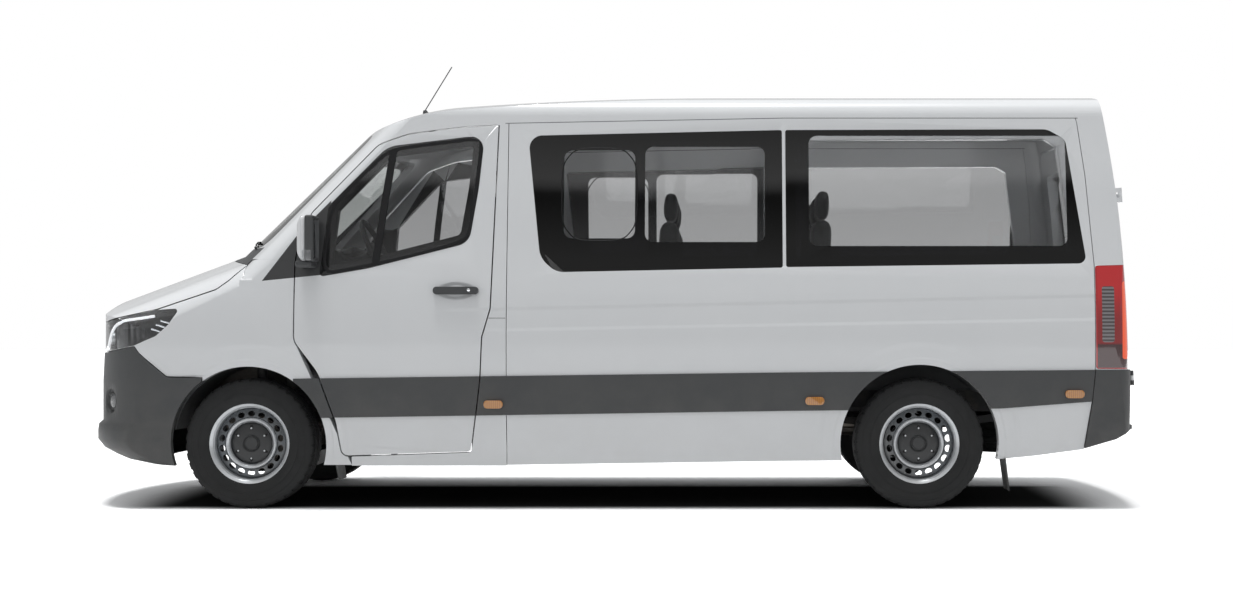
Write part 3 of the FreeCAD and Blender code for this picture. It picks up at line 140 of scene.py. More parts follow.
scene.world = bpy.data.worlds.new("studio")
sky = empty_tree(scene.world)
plain_sky = add(sky, "ShaderNodeBackground", {"Color": (0.97, 0.985, 1.0, 1), "Strength": 0.6})
white_sky = add(sky, "ShaderNodeBackground", {"Color": (1, 1, 1, 1)})
direction = add(sky, "ShaderNodeTexCoord").outputs["Generated"]
height = add(sky, "ShaderNodeSeparateXYZ", {0: direction}).outputs["Z"]
band = add(sky, "ShaderNodeValToRGB", {0: height})
while len(band.color_ramp.elements) > 1:
    band.color_ramp.elements.remove(band.color_ramp.elements[0])
# sine of the height above the horizon, brightness
for i, (place, level) in enumerate([(0.0, 0.55), (0.285, 0.42), (0.318, 0.12), (0.323, 0.16), (0.325, 0.95),
                                    (0.36, 0.5), (0.55, 0.6), (0.8, 1.0)]):
    stop = band.color_ramp.elements[0] if i == 0 else band.color_ramp.elements.new(place)
    stop.position = place
    stop.color = (level, level, level, 1)
band_sky = add(sky, "ShaderNodeBackground", {"Color": band.outputs["Color"]})
seen_sky = add(sky, "ShaderNodeMixShader", {0: ray_mask(sky, "Is Camera Ray", "Is Transmission Ray"),
                                            1: plain_sky.outputs[0], 2: white_sky.outputs[0]})
whole_sky = add(sky, "ShaderNodeMixShader", {0: ray_mask(sky, "Is Glossy Ray"),
                                             1: seen_sky.outputs[0], 2: band_sky.outputs[0]})
add(sky, "ShaderNodeOutputWorld", {"Surface": whole_sky.outputs[0]})

overhead = bpy.data.lights.new("overhead", "SUN")
overhead.energy = 1.9
overhead.angle = math.radians(14)
lamp = new_object("overhead", overhead)
lamp.rotation_euler = (math.radians(-2), math.radians(4), 0)

FLOOR_HALF = 60.0
work = bmesh.new()
bmesh.ops.create_grid(work, x_segments=1, y_segments=1, size=FLOOR_HALF)
floor = new_object("studio_floor", mesh_of(work, "studio_floor"))
floor_paint = bpy.data.materials.new("studio_floor")
tree = empty_tree(floor_paint)
spot, x, y, z = place_on(tree)
# painted shadow under the vehicle: a nearly black oblong in the floor's colour, its ends along and across, and
# how soft each edge is
painted_shadow_edges = [rise(tree, way, edge, edge + inwards)
           for way, low, high, soft in ((x, -2.90, 2.80, 0.42), (y, -0.52, 1.00, 0.20))
           for edge, inwards in ((low, soft), (high, -soft))]
# the painted shadow: nearly black inside the oblong, the plain floor colour outside it
floor_with_painted_shadow = blend_of(tree, all_of(tree, *painted_shadow_edges), (1.3, 1.3, 1.3, 1), (0.03, 0.03, 0.03, 1))
looked_at = ray_mask(tree, "Is Camera Ray", "Is Glossy Ray", "Is Transmission Ray")
matt = add(tree, "ShaderNodeBsdfDiffuse", {"Color": blend_of(tree, looked_at, (0.5, 0.5, 0.5, 1), floor_with_painted_shadow)})
add(tree, "ShaderNodeOutputMaterial", {"Surface": matt.outputs[0]})
floor.data.materials.append(floor_paint)

# ------------------------------------------------------------------ camera
# A lens of normal length, square to the left side, a metre above the floor.  The frame is shifted sideways and
# up, not turned.
camera_data = bpy.data.cameras.new("camera")
camera_data.sensor_width = 36.0
camera_data.lens = 50.92
camera_data.shift_x, camera_data.shift_y = -0.08151, 0.01703
camera = new_object("camera", camera_data)
camera.location = (-0.617, 10.5, 1.0)
camera.rotation_euler = (math.radians(90), 0, math.radians(180))
scene.camera = camera

# ------------------------------------------------------------------ painted body
# Pressed steel panels, doors and bonnet, spot-welded or hung on hinges, in plain white paint under clear
# lacquer.  The pressed lines, the wheel swellings and the handles' dishes are in the paint's relief.
front_axle = sum(corner.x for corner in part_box("tyre_front_left")) / 2
rear_axle = sum(corner.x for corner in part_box("tyre_rear_left")) / 2
axle_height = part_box("tyre_front_left")[1].z / 2
body_of_node = {n: b for b, members in frame["record"]["behaviour"]["bodies"].items() for n in members}


def finish_of(name, **constants):
    """Material with one Principled shader, whose constants are given by name."""
    made = bpy.data.materials.new(name)
    tree = empty_tree(made)
    shader = add(tree, "ShaderNodeBsdfPrincipled")
    for key, value in constants.items():
        shader.inputs[key.replace("_", " ")].default_value = value
    add(tree, "ShaderNodeOutputMaterial", {"Surface": shader.outputs[0]})
    return made, tree


def feed(tree, socket, source):
    """Put what changes over the surface into the material's shader."""
    link(tree, source, tree.nodes["Principled BSDF"].inputs[socket])


def colour_by(tree, mask, first, second):
    """Base colour that goes from first to second as the mask rises."""
    feed(tree, "Base Color", blend_of(tree, mask, first, second))


def rough_by(tree, value, span, least):
    """Roughness that rises by the span, from the least, with a value from 0 to 1."""
    feed(tree, "Roughness", sums(tree, "MULTIPLY_ADD", value, span, least))


def relief_by(tree, height, distance, strength):
    """Relief of the surface; the distance, in metres, is what a height of 1 stands for."""
    bump = add(tree, "ShaderNodeBump", {"Height": height, "Distance": distance, "Strength": strength})
    feed(tree, "Normal", bump.outputs[0])


def noise_of(tree, scale, detail, **more):
    """Cloudy noise from 0 to 1 over the vehicle."""
    spot = add(tree, "ShaderNodeTexCoord").outputs["Object"]
    made = add(tree, "ShaderNodeTexNoise", {"Vector": spot, "Scale": scale, "Detail": detail, **more})
    return made.outputs[0]


def hypotenuse(tree, a, b):
    """Distance from the sides of a right angle."""
    return sums(tree, "SQRT", sums(tree, "ADD", sums(tree, "MULTIPLY", a, a), sums(tree, "MULTIPLY", b, b)))


def between(tree, value, low, high):
    """1 where the value lies from low to high."""
    return sums(tree, "COMPARE", value, (low + high) / 2, (high - low) / 2)


# effect used by most outer finishes: thin road dust that thickens towards the ground
DUST_NONE, DUST_FULL = 0.95, 0.15               # heights at which it starts and is thickest
film = bpy.data.node_groups.new("road_film", "ShaderNodeTree")
film.interface.new_socket(name="Amount", in_out="INPUT", socket_type="NodeSocketFloat")
film.interface.new_socket(name="Film", in_out="OUTPUT", socket_type="NodeSocketFloat")
film_in, film_out = film.nodes.new("NodeGroupInput"), film.nodes.new("NodeGroupOutput")
film_height = rise(film, place_on(film)[3], DUST_NONE, DUST_FULL)
film_patch = rise(film, noise_of(film, 5.0, 6.0, Roughness=0.6), 0.25, 0.75)
link(film, all_of(film, film_height, film_patch, film_in.outputs["Amount"]), film_out.inputs["Film"])

# effect used by moulded plastics: fine leather-like grain
grain = bpy.data.node_groups.new("moulded_grain", "ShaderNodeTree")
grain.interface.new_socket(name="Cell", in_out="INPUT", socket_type="NodeSocketFloat")
grain.interface.new_socket(name="Height", in_out="OUTPUT", socket_type="NodeSocketFloat")
grain.interface.new_socket(name="Tone", in_out="OUTPUT", socket_type="NodeSocketFloat")
grain_in, grain_out = grain.nodes.new("NodeGroupInput"), grain.nodes.new("NodeGroupOutput")
grain_cells = add(grain, "ShaderNodeTexVoronoi",
                  {"Vector": place_on(grain)[0], "Scale": grain_in.outputs["Cell"]})
link(grain, grain_cells.outputs["Distance"], grain_out.inputs["Height"])
link(grain, noise_of(grain, 9.0, 5.0), grain_out.inputs["Tone"])


def dust_of(tree, amount):
    """Mask of the road dust on a finish."""
    return add(tree, "ShaderNodeGroup", {"Amount": amount}, node_tree=film).outputs["Film"]


ROAD_DUST = (0.42, 0.40, 0.36, 1)
SEAM_BLACK = (0.03, 0.03, 0.03, 1)
CORNER_GREY = (0.034, 0.035, 0.036, 1)
JOINT_GREY = (0.14, 0.145, 0.15, 1)
white_paint, tree = finish_of("white_paint", Roughness=0.3, Coat_Weight=0.7, Coat_Roughness=0.06)
spot, x, y, z = place_on(tree)
wide = sums(tree, "ABSOLUTE", y)
clean = blend_of(tree, noise_of(tree, 2.2, 3.0), (0.74, 0.755, 0.77, 1), (0.79, 0.80, 0.81, 1))
painted = blend_of(tree, dust_of(tree, 0.10), clean, ROAD_DUST)
# the filler flap's seam, on the pillar behind the door: its two ends and its height
FLAP_SEAM = (front_axle - 1.404, front_axle - 1.312, 1.043)
seam = all_of(tree, sums(tree, "COMPARE", z, FLAP_SEAM[2], 0.0016), between(tree, x, *FLAP_SEAM[:2]))
painted = blend_of(tree, seam, painted, SEAM_BLACK)
# the dark corner between the bonnet and the door window: below two sloping lines and above a third, each with
# its slope and its height at CORNER_AT
CORNER_AT = front_axle - 0.251
behind = sums(tree, "SUBTRACT", CORNER_AT, x)
corner = [sums(tree, kept, z, sums(tree, "MULTIPLY_ADD", behind, slope, at)) for kept, slope, at in (
    ("LESS_THAN", 1.04, 1.493), ("LESS_THAN", 1.35, 1.487), ("GREATER_THAN", 0.10, 1.264))]
corner += [sums(tree, "GREATER_THAN", wide, 0.86), between(tree, x, front_axle - 0.44, front_axle - 0.04)]
painted = blend_of(tree, all_of(tree, *corner), painted, CORNER_GREY)
# the sealed joint between roof and walls: a line that is level at the tail and falls slightly forwards
JOINT_X, JOINT_Z, JOINT_FALL = front_axle - 2.926, 2.1485, -0.019
falling = sums(tree, "MAXIMUM", sums(tree, "SUBTRACT", x, JOINT_X), 0.0)
joint_z = sums(tree, "MULTIPLY_ADD", falling, JOINT_FALL, JOINT_Z)
joint = all_of(tree, sums(tree, "COMPARE", z, joint_z, 0.0022), sums(tree, "GREATER_THAN", wide, 0.78),
               between(tree, x, rear_axle - 0.885, front_axle - 1.39))
feed(tree, "Base Color", blend_of(tree, joint, painted, JOINT_GREY))
# orange peel of the paint
relief = sums(tree, "MULTIPLY", noise_of(tree, 260.0, 2.0), 0.00002)
# pressed lines along the side: height at the front door, height at the tail, depth
LINE_FRONT, LINE_BACK = front_axle - 1.2, rear_axle - 0.9
for front_z, back_z, depth in ((1.088, 1.163, 0.004), (0.976, 1.036, -0.004)):
    slope = (front_z - back_z) / (LINE_FRONT - LINE_BACK)
    line_z = sums(tree, "MULTIPLY_ADD", x, slope, front_z - slope * LINE_FRONT)
    step = all_of(tree, rise(tree, sums(tree, "SUBTRACT", z, line_z), -0.012, 0.012),
                  rise(tree, x, front_axle - 0.95, front_axle - 1.3))
    relief = sums(tree, "MULTIPLY_ADD", step, depth, relief)
# swellings round the wheel openings, in two steps: where each starts and is full, outwards, and its depth
for axle, opening in ((front_axle, 0.423), (rear_axle, 0.433)):
    away = hypotenuse(tree, sums(tree, "SUBTRACT", x, axle), sums(tree, "SUBTRACT", z, axle_height))
    for far, near, depth in ((0.13, 0.09, 0.005), (0.045, 0.03, 0.003)):
        swelling = rise(tree, away, opening + far, opening + near)
        relief = sums(tree, "MULTIPLY_ADD", swelling, depth, relief)
# the dish behind each door handle: its middle, half its length and height, and its depth
DISH_X, DISH_Z = front_axle - 1.135, 1.192
DISH_HALF_LONG, DISH_HALF_HIGH, DISH_DEPTH = 0.11, 0.052, 0.012
out_x = sums(tree, "DIVIDE", sums(tree, "SUBTRACT", x, DISH_X), DISH_HALF_LONG)
out_z = sums(tree, "DIVIDE", sums(tree, "SUBTRACT", z, DISH_Z), DISH_HALF_HIGH)
dish = rise(tree, hypotenuse(tree, out_x, out_z), 1.0, 0.55)
relief = sums(tree, "MULTIPLY_ADD", dish, -DISH_DEPTH, relief)
# all of it on the faces that look sideways only
facing = add(tree, "ShaderNodeSeparateXYZ", {0: add(tree, "ShaderNodeNewGeometry").outputs["True Normal"]})
sideways = rise(tree, sums(tree, "ABSOLUTE", facing.outputs["Y"]), 0.5, 0.8)
relief_by(tree, all_of(tree, relief, sideways), 1.0, 1.0)


def inside(outline, a, b):
    """Whether a place lies inside a closed outline."""
    within = False
    for (a0, b0), (a1, b1) in zip(outline, outline[1:] + outline[:1]):
        if (b0 > b) != (b1 > b) and a < a0 + (b - b0) / (b1 - b0) * (a1 - a0):
            within = not within
    return within


def smooth_copy(node, material, sharp=28.0, flange=None):
    """New piece with a CAD node's shape, its triangles joined so that curved faces shade smoothly."""
    work = bmesh.new()
    work.from_mesh(nodes[node].data)
    bmesh.ops.remove_doubles(work, verts=work.verts[:], dist=0.00001)
    shape = mesh_of(work, node + "_skin")
    shape.shade_smooth()
    shape.set_sharp_from_angle(angle=math.radians(sharp))
    shape.materials.append(material)
    if flange:
        shape.materials.append(flange[0])
        for face in shape.polygons:
            if inside(flange[1], face.center.x, face.center.z):
                face.material_index = 1
    made = new_object(node + "_skin", shape)
    made.modifiers.new("even", "WEIGHTED_NORMAL").keep_sharp = True
    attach(made, body_of_node[node])
    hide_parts(node)
    return made


def mottled(name, scale, detail, first, second, span=None, rough=None, relief=None, **constants):
    """Finish whose tone, and if given its roughness and relief, follow a cloudy noise."""
    made, tree = finish_of(name, **constants)
    cloud = noise_of(tree, scale, detail)
    colour_by(tree, rise(tree, cloud, *span) if span else cloud, first, second)
    if rough:
        rough_by(tree, cloud, *rough)
    if relief:
        relief_by(tree, cloud, *relief)
    return made


# outline of the front doors' windows, over whose edge a black flange shows: from the front axle, height
DOOR_WINDOW = [(front_axle + a, b) for a, b in (
    (-0.386, 1.270), (-0.426, 1.656), (-0.560, 1.800), (-0.735, 1.975), (-0.860, 2.002), (-1.260, 2.052),
    (-1.274, 2.000), (-1.250, 1.760), (-1.212, 1.490), (-1.150, 1.446), (-0.900, 1.374), (-0.650, 1.318))]
flange_black = mottled("flange_black", 20.0, 4.0, (0.008, 0.008, 0.009, 1), (0.016, 0.016, 0.017, 1),
                       Roughness=0.5, Specular_IOR_Level=0.3)
for node in ("roof", "tail_frame"):
    smooth_copy(node, white_paint, sharp=16.0)
for node in ("side_wall_left", "side_wall_right", "sliding_door", "cab_frame", "bonnet", "front_wings",
             "rear_door_left", "rear_door_right"):
    smooth_copy(node, white_paint)
for side in ("left", "right"):
    smooth_copy("front_door_" + side, white_paint, flange=(flange_black, DOOR_WINDOW))

# ------------------------------------------------------------------ dark plastic trim
# Bumpers, side strips, cowl, grille, handles and wheel liners, moulded in dark grey plastic with a fine grain
# and clipped or screwed on.
def moulded(name, cell, first, second, rough=None, relief=None, dusty=None, **constants):
    """Grained plastic or rubber, its tone going from the first colour to the second."""
    made, tree = finish_of(name, **constants)
    skin = add(tree, "ShaderNodeGroup", {"Cell": cell}, node_tree=grain)
    tone = blend_of(tree, skin.outputs["Tone"], first, second)
    if dusty:
        amount, colour = dusty
        tone = blend_of(tree, dust_of(tree, amount), tone, colour)
    feed(tree, "Base Color", tone)
    if rough:
        rough_by(tree, skin.outputs["Tone"], *rough)
    if relief:
        relief_by(tree, skin.outputs["Height"], *relief)
    return made


TRIM_DUST = (0.13, 0.125, 0.115, 1)
trim_plastic = moulded("trim_plastic", 900.0, (0.040, 0.042, 0.044, 1), (0.050, 0.052, 0.054, 1),
                       rough=(0.2, 0.42), relief=(0.0004, 0.5), dusty=(0.5, TRIM_DUST), Roughness=0.5)
for node in ("cowl", "grille", "front_bumper", "rear_bumper", "side_mouldings", "front_door_trim_left",
             "front_door_trim_right", "wheel_liners"):
    smooth_copy(node, trim_plastic)

# ------------------------------------------------------------------ window glass
# Toughened tinted panes bonded to the body, with a black ceramic border that hides the glue; the windscreen is
# laminated and clearer.
def oblong(tree, a, b, box, radius):
    """1 inside an upright oblong with rounded corners: its least and greatest a, then b."""
    over = []
    for value, low, high in ((a, *box[:2]), (b, *box[2:])):
        off = sums(tree, "ABSOLUTE", sums(tree, "SUBTRACT", value, (low + high) / 2))
        over.append(sums(tree, "MAXIMUM", sums(tree, "SUBTRACT", off, (high - low) / 2 - radius), 0.0))
    return rise(tree, hypotenuse(tree, *over), radius + 0.0008, radius - 0.0008)


CERAMIC_BLACK = (0.004, 0.004, 0.005, 1)


def pane_glass(name, tint, clear_zones, radius, by_width=False):
    """Glass that is clear inside its zones, along or across and in height, and black outside them."""
    made, tree = finish_of(name, Transmission_Weight=1.0, Roughness=0.02, IOR=1.5)
    spot, x, y, z = place_on(tree)
    way = sums(tree, "ABSOLUTE", y) if by_width else x
    if clear_zones:
        clear = oblong(tree, way, z, clear_zones[0], radius)
        for zone in clear_zones[1:]:
            clear = sums(tree, "MAXIMUM", clear, oblong(tree, way, z, zone, radius))
        colour_by(tree, clear, CERAMIC_BLACK, tint)
    else:
        colour_by(tree, dust_of(tree, 0.2), tint, (0.3, 0.3, 0.28, 1))
    rough_by(tree, noise_of(tree, 1.6, 2.0), 0.03, 0.005)
    return made


TINT = (0.795, 0.80, 0.805, 1)
side_glass = pane_glass("side_glass", TINT, [
    (front_axle - 2.821, front_axle - 2.163, 1.460, 1.988),
    (front_axle - 2.108, front_axle - 1.718, 1.480, 1.968),
    (rear_axle - 0.812, front_axle - 3.063, 1.438, 2.049)], 0.045)
door_glass = pane_glass("door_glass", (0.76, 0.765, 0.77, 1), [], 0.05)
rear_glass = pane_glass("rear_glass", TINT, [(0.130, 0.680, 1.405, 1.930)], 0.07, by_width=True)
screen_glass = pane_glass("screen_glass", (0.78, 0.82, 0.80, 1), [(-0.70, 0.70, 1.52, 2.00)], 0.08,
                          by_width=True)
for node, glass in (("side_windows", side_glass), ("front_door_glass_left", door_glass),
                    ("front_door_glass_right", door_glass), ("rear_door_glass_left", rear_glass),
                    ("rear_door_glass_right", rear_glass), ("windscreen", screen_glass)):
    smooth_copy(node, glass)

# ------------------------------------------------------------------ door mirrors
# Folding mirrors on each front door: a white shell over a dark housing, on a dark foot bolted to the door,
# with a clear indicator on the outer end.
mirror_paint, tree = finish_of("mirror_paint", Roughness=0.3, Coat_Weight=0.7, Coat_Roughness=0.06)
colour_by(tree, dust_of(tree, 0.2), (0.78, 0.79, 0.80, 1), ROAD_DUST)
relief_by(tree, noise_of(tree, 260.0, 2.0), 0.00002, 1.0)
mirror_silver = mottled("mirror_silver", 9.0, 4.0, (0.78, 0.80, 0.82, 1), (0.86, 0.88, 0.9, 1),
                        Metallic=1.0, Roughness=0.03)


def ribs_of(tree, scale, way):
    """Soft ribs from 0 to 1, one after another along X, Y or Z."""
    spot = add(tree, "ShaderNodeTexCoord").outputs["Object"]
    return add(tree, "ShaderNodeTexWave", {"Vector": spot, "Scale": scale}, bands_direction=way).outputs[1]


clear_lens, tree = finish_of("clear_lens", Transmission_Weight=0.85, Roughness=0.05, IOR=1.5)
ribs = ribs_of(tree, 40.0, "Z")
colour_by(tree, ribs, (0.93, 0.94, 0.95, 1), (0.80, 0.82, 0.84, 1))
relief_by(tree, ribs, 0.0006, 0.5)


def piece_of(name, work, materials, body, smooth=35.0, node=None, slot=None):
    """Finished piece from a bmesh, shaded smooth, riding on its body."""
    bmesh.ops.remove_doubles(work, verts=work.verts[:], dist=0.00002)
    shape = mesh_of(work, name)
    shape.shade_smooth()
    shape.set_sharp_from_angle(angle=math.radians(smooth))
    for material in materials if isinstance(materials, list) else [materials]:
        shape.materials.append(material)
    made = new_object(name, shape)
    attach(made, body)
    if node:
        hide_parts(node)
    return made


def block(work, low, high, edge, segments=3):
    """Oblong between two corners, its edges rounded."""
    low, high = Vector(low), Vector(high)
    made = bmesh.ops.create_cube(work, size=1.0)["verts"]
    bmesh.ops.scale(work, vec=high - low, verts=made)
    bmesh.ops.translate(work, vec=(low + high) / 2, verts=made)
    around = {g for v in made for g in (*v.link_edges, *v.link_faces)}
    bmesh.ops.bevel(work, geom=list(around) + made, offset=edge, segments=segments, profile=0.5,
                    affect="EDGES", material=-1)


def mirrored(work):
    """The same shape on the other side of the vehicle, its faces pointing outwards."""
    bmesh.ops.scale(work, vec=(1, -1, 1), verts=work.verts[:])
    bmesh.ops.recalc_face_normals(work, faces=work.faces[:])


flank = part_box("mirror_left")[1].y
MIRROR_BACK, MIRROR_TIP = front_axle - 0.372, front_axle - 0.300      # rear edge of the shell and its tip
MIRROR_LOW, MIRROR_HIGH = 1.345, 1.602
SHELL_IN_Y, SHELL_IN_Z = 0.42, 0.30             # share by which the shell's forward end draws in
for side in ("left", "right"):
    def hang(name, work, material, slot, **facts):
        """Piece of one mirror, on its door."""
        if side == "right":
            mirrored(work)
        piece_of(name + "_" + side, work, material, "front_door_" + side, slot=slot, **facts)

    shell = bmesh.new()
    low = Vector((MIRROR_BACK + 0.020, flank - 0.165, MIRROR_LOW))
    high = Vector((MIRROR_TIP + 0.004, flank - 0.002, MIRROR_HIGH))
    block(shell, low, high, 0.030, 4)
    middle = (low + high) / 2
    for vert in shell.verts:
        ahead = ((vert.co.x - low.x) / (high.x - low.x)) ** 2
        vert.co.y += (middle.y - vert.co.y) * SHELL_IN_Y * ahead
        vert.co.z += (middle.z - vert.co.z) * SHELL_IN_Z * ahead
    hang("mirror_shell", shell, mirror_paint, "body_paint", node="mirror_" + side)
    housing = bmesh.new()
    block(housing, (MIRROR_BACK - 0.022, flank - 0.160, MIRROR_LOW + 0.004),
          (MIRROR_BACK + 0.026, flank - 0.004, MIRROR_HIGH - 0.006), 0.012)
    back = [f for f in housing.faces if f.normal.x < -0.9 and f.calc_area() > 0.005]
    bmesh.ops.inset_region(housing, faces=back, thickness=0.006, depth=-0.012)
    hang("mirror_housing", housing, trim_plastic, "dark_plastic")
    plate = bmesh.new()
    block(plate, (MIRROR_BACK - 0.014, flank - 0.146, MIRROR_LOW + 0.020),
          (MIRROR_BACK - 0.009, flank - 0.018, MIRROR_HIGH - 0.022), 0.0015, 2)
    hang("mirror_glass", plate, mirror_silver, "clear_glass")
    indicator = bmesh.new()
    block(indicator, (MIRROR_BACK - 0.012, flank - 0.020, MIRROR_LOW + 0.004),
          (MIRROR_BACK + 0.040, flank, MIRROR_LOW + 0.064), 0.009)
    hang("mirror_indicator", indicator, clear_lens, "lamp_glass")
    foot = bmesh.new()
    block(foot, (MIRROR_BACK, 0.960, 1.318), (MIRROR_TIP + 0.015, flank - 0.050, 1.352), 0.010)
    hang("mirror_foot", foot, trim_plastic, "dark_plastic")

# ------------------------------------------------------------------ wheels and tyres
# Pressed steel disc with eighteen ventilation holes, welded into a rolled rim and stove-painted silver; a dark
# plastic cap covers the hub and the six bolts.  The tyre is a commercial radial with four main grooves.
half_track = sum(corner.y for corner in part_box("tyre_front_left")) / 2
TYRE_STEPS = 120


def turned(profile, steps=TYRE_STEPS):
    """Solid of revolution about the Y axis from a closed line of (along the axle, radius) points."""
    work = bmesh.new()
    verts = [work.verts.new((0, a, r)) for a, r in profile]
    edges = [work.edges.new((verts[i - 1], verts[i])) for i in range(len(verts))]
    bmesh.ops.spin(work, geom=verts + edges, cent=(0, 0, 0), axis=(0, 1, 0), angle=math.tau, steps=steps,
                   use_merge=True)
    bmesh.ops.remove_doubles(work, verts=work.verts[:], dist=0.00002)
    bmesh.ops.recalc_face_normals(work, faces=work.faces[:])
    return work


# the tyre's section: sidewall from bead to shoulder, four grooves in the tread, the other sidewall, the inside
sidewall = [
    (0.086, 0.207), (0.0985, 0.213), (0.105, 0.222), (0.111, 0.238), (0.1165, 0.256), (0.1180, 0.270),
    (0.1168, 0.271), (0.1168, 0.2735), (0.1178, 0.2745), (0.1172, 0.292), (0.1150, 0.308), (0.1138, 0.309),
    (0.1138, 0.311), (0.1142, 0.312), (0.1110, 0.326), (0.1060, 0.338), (0.1010, 0.3455), (0.0960, 0.3495)]
TREAD_R, GROOVE_R, GROOVES = 0.3550, 0.3470, (0.062, 0.021, -0.021, -0.062)
tread = [(0.0880, 0.3515)]
for centre in GROOVES:
    tread += [(centre + 0.0055, TREAD_R), (centre + 0.0035, GROOVE_R), (centre - 0.0035, GROOVE_R),
              (centre - 0.0055, TREAD_R)]
tread += [(-0.0880, 0.3515)]
tyre = turned(sidewall + tread + [(-a, r) for a, r in reversed(sidewall)] + [(-0.080, 0.222), (0.080, 0.222)])
# tread blocks on the shoulders: every third facet is pressed in
notches = []
for face in tyre.faces:
    spot = face.calc_center_median()
    step = int(round((math.atan2(spot.z, spot.x) % math.tau) / math.tau * TYRE_STEPS - 0.5))
    if 0.3405 < math.hypot(spot.x, spot.z) < 0.3560 and 0.064 < abs(spot.y) < 0.108 and step % 3 == 0:
        notches.append(face)
bmesh.ops.inset_region(tyre, faces=notches, thickness=0.0012, depth=-0.0045)
tyre_mesh = mesh_of(tyre, "tyre")
rim_mesh = mesh_of(turned([
    (-0.085, 0.196), (-0.085, 0.207), (-0.040, 0.204), (-0.010, 0.186), (0.030, 0.186), (0.052, 0.203),
    (0.085, 0.207), (0.0905, 0.213), (0.0945, 0.2190), (0.0985, 0.2212), (0.1025, 0.2205), (0.1030, 0.2175),
    (0.1000, 0.2135), (0.0950, 0.2070), (0.0900, 0.2010), (0.0860, 0.1995), (0.0820, 0.2000), (0.0800, 0.1975),
    (0.0500, 0.1935), (0.0300, 0.180), (-0.010, 0.180), (-0.040, 0.195)]), "rim")
blank_mesh = mesh_of(turned([
    (0.050, 0.1930), (0.055, 0.1900), (0.0600, 0.1800), (0.0600, 0.1450), (0.0640, 0.1400), (0.0720, 0.1360),
    (0.0740, 0.1310), (0.0700, 0.1240), (0.0560, 0.1150), (0.0420, 0.1100), (0.0330, 0.060), (0.0330, 0.035),
    (0.0300, 0.035), (0.0300, 0.060), (0.0380, 0.1120), (0.0520, 0.1180), (0.0660, 0.1270), (0.0680, 0.1320),
    (0.0600, 0.1360), (0.0560, 0.1420), (0.0560, 0.1800), (0.0500, 0.1880)], 144), "blank")
# the ventilation holes are punched out of the disc
HOLES, HOLE_RING_R, HOLE_R = 18, 0.1625, 0.0160
upright = Matrix.Rotation(math.pi / 2, 4, "X")
work = bmesh.new()
for i in range(HOLES):
    turn = Matrix.Rotation(math.tau * i / HOLES, 4, "Y")
    place = turn @ Matrix.Translation((0, 0.058, HOLE_RING_R)) @ upright @ Matrix.Diagonal((1.22, 0.98, 1, 1))
    bmesh.ops.create_cone(work, cap_ends=True, segments=24, radius1=HOLE_R, radius2=HOLE_R, depth=0.05,
                          matrix=place)
blank, punch = new_object("blank", blank_mesh), new_object("punch", mesh_of(work, "punch"))
cut = blank.modifiers.new("holes", "BOOLEAN")
cut.operation, cut.object, cut.solver = "DIFFERENCE", punch, "EXACT"


def settled(made):
    """Mesh of an object with its modifiers applied."""
    return bpy.data.meshes.new_from_object(made.evaluated_get(bpy.context.evaluated_depsgraph_get()))


disc_mesh = settled(blank)
bpy.data.objects.remove(blank)
bpy.data.objects.remove(punch)
# painted highlight: the disc's raised shoulder, where it faces outwards, gets a lit, brighter copy of the
# disc's silver paint
for face in disc_mesh.polygons:
    radius = math.hypot(face.center.x, face.center.z)
    bright = 0.117 < radius < 0.1395 and face.normal.y > -0.1 and face.center.y > 0.05
    face.material_index = 1 if bright else 0
cap_mesh = mesh_of(turned([
    (0.0380, 0.0), (0.0380, 0.1120), (0.0440, 0.1145), (0.0480, 0.1130), (0.0560, 0.1000), (0.0620, 0.0800),
    (0.0640, 0.0600), (0.0650, 0.0500), (0.0620, 0.0460), (0.0560, 0.0400), (0.0560, 0.0360), (0.0620, 0.0345),
    (0.0640, 0.0320), (0.0645, 0.0)], 96), "cap")
BOLTS = 6
bolts, slots = bmesh.new(), bmesh.new()
for i in range(BOLTS):
    turn = Matrix.Rotation(math.tau * i / BOLTS, 4, "Y")
    bmesh.ops.create_cone(bolts, cap_ends=True, segments=12, radius1=0.0062, radius2=0.0045, depth=0.010,
                          matrix=turn @ Matrix.Translation((0, 0.0610, 0.083)) @ upright.inverted())
    place = turn @ Matrix.Translation((0, 0.0590, 0.0875)) @ Matrix.Diagonal((0.75, 1, 1.35, 1))
    bmesh.ops.create_cone(slots, cap_ends=True, segments=16, radius1=0.0105, radius2=0.0095, depth=0.006,
                          matrix=place @ upright.inverted())
bolt_mesh, slot_mesh = mesh_of(bolts, "bolts"), mesh_of(slots, "slots")

seal_rubber = moulded("seal_rubber", 500.0, (0.004, 0.004, 0.0045, 1), (0.008, 0.008, 0.009, 1), Roughness=0.6,
                      Specular_IOR_Level=0.25, rough=(0.2, 0.45))
cap_plastic = moulded("cap_plastic", 700.0, (0.020, 0.021, 0.022, 1), (0.028, 0.029, 0.030, 1), Roughness=0.45)
rubber, tree = finish_of("tyre_rubber", Roughness=0.75, Specular_IOR_Level=0.35)
worn = noise_of(tree, 22.0, 6.0)
colour_by(tree, all_of(tree, dust_of(tree, 0.35), worn), (0.0085, 0.009, 0.0095, 1), (0.036, 0.034, 0.031, 1))
rough_by(tree, worn, 0.2, 0.6)
relief_by(tree, noise_of(tree, 400.0, 3.0), 0.0002, 0.4)


def stove_paint(name, base, other, roughness):
    """Metallic stove paint with a fine fleck, and brake dust low on the wheel."""
    made, tree = finish_of(name, Metallic=0.55, Coat_Weight=0.3, Coat_Roughness=0.15)
    fleck = noise_of(tree, 60.0, 6.0)
    colour_by(tree, dust_of(tree, 0.35), blend_of(tree, fleck, base, other), (0.16, 0.14, 0.12, 1))
    rough_by(tree, fleck, 0.15, roughness)
    return made


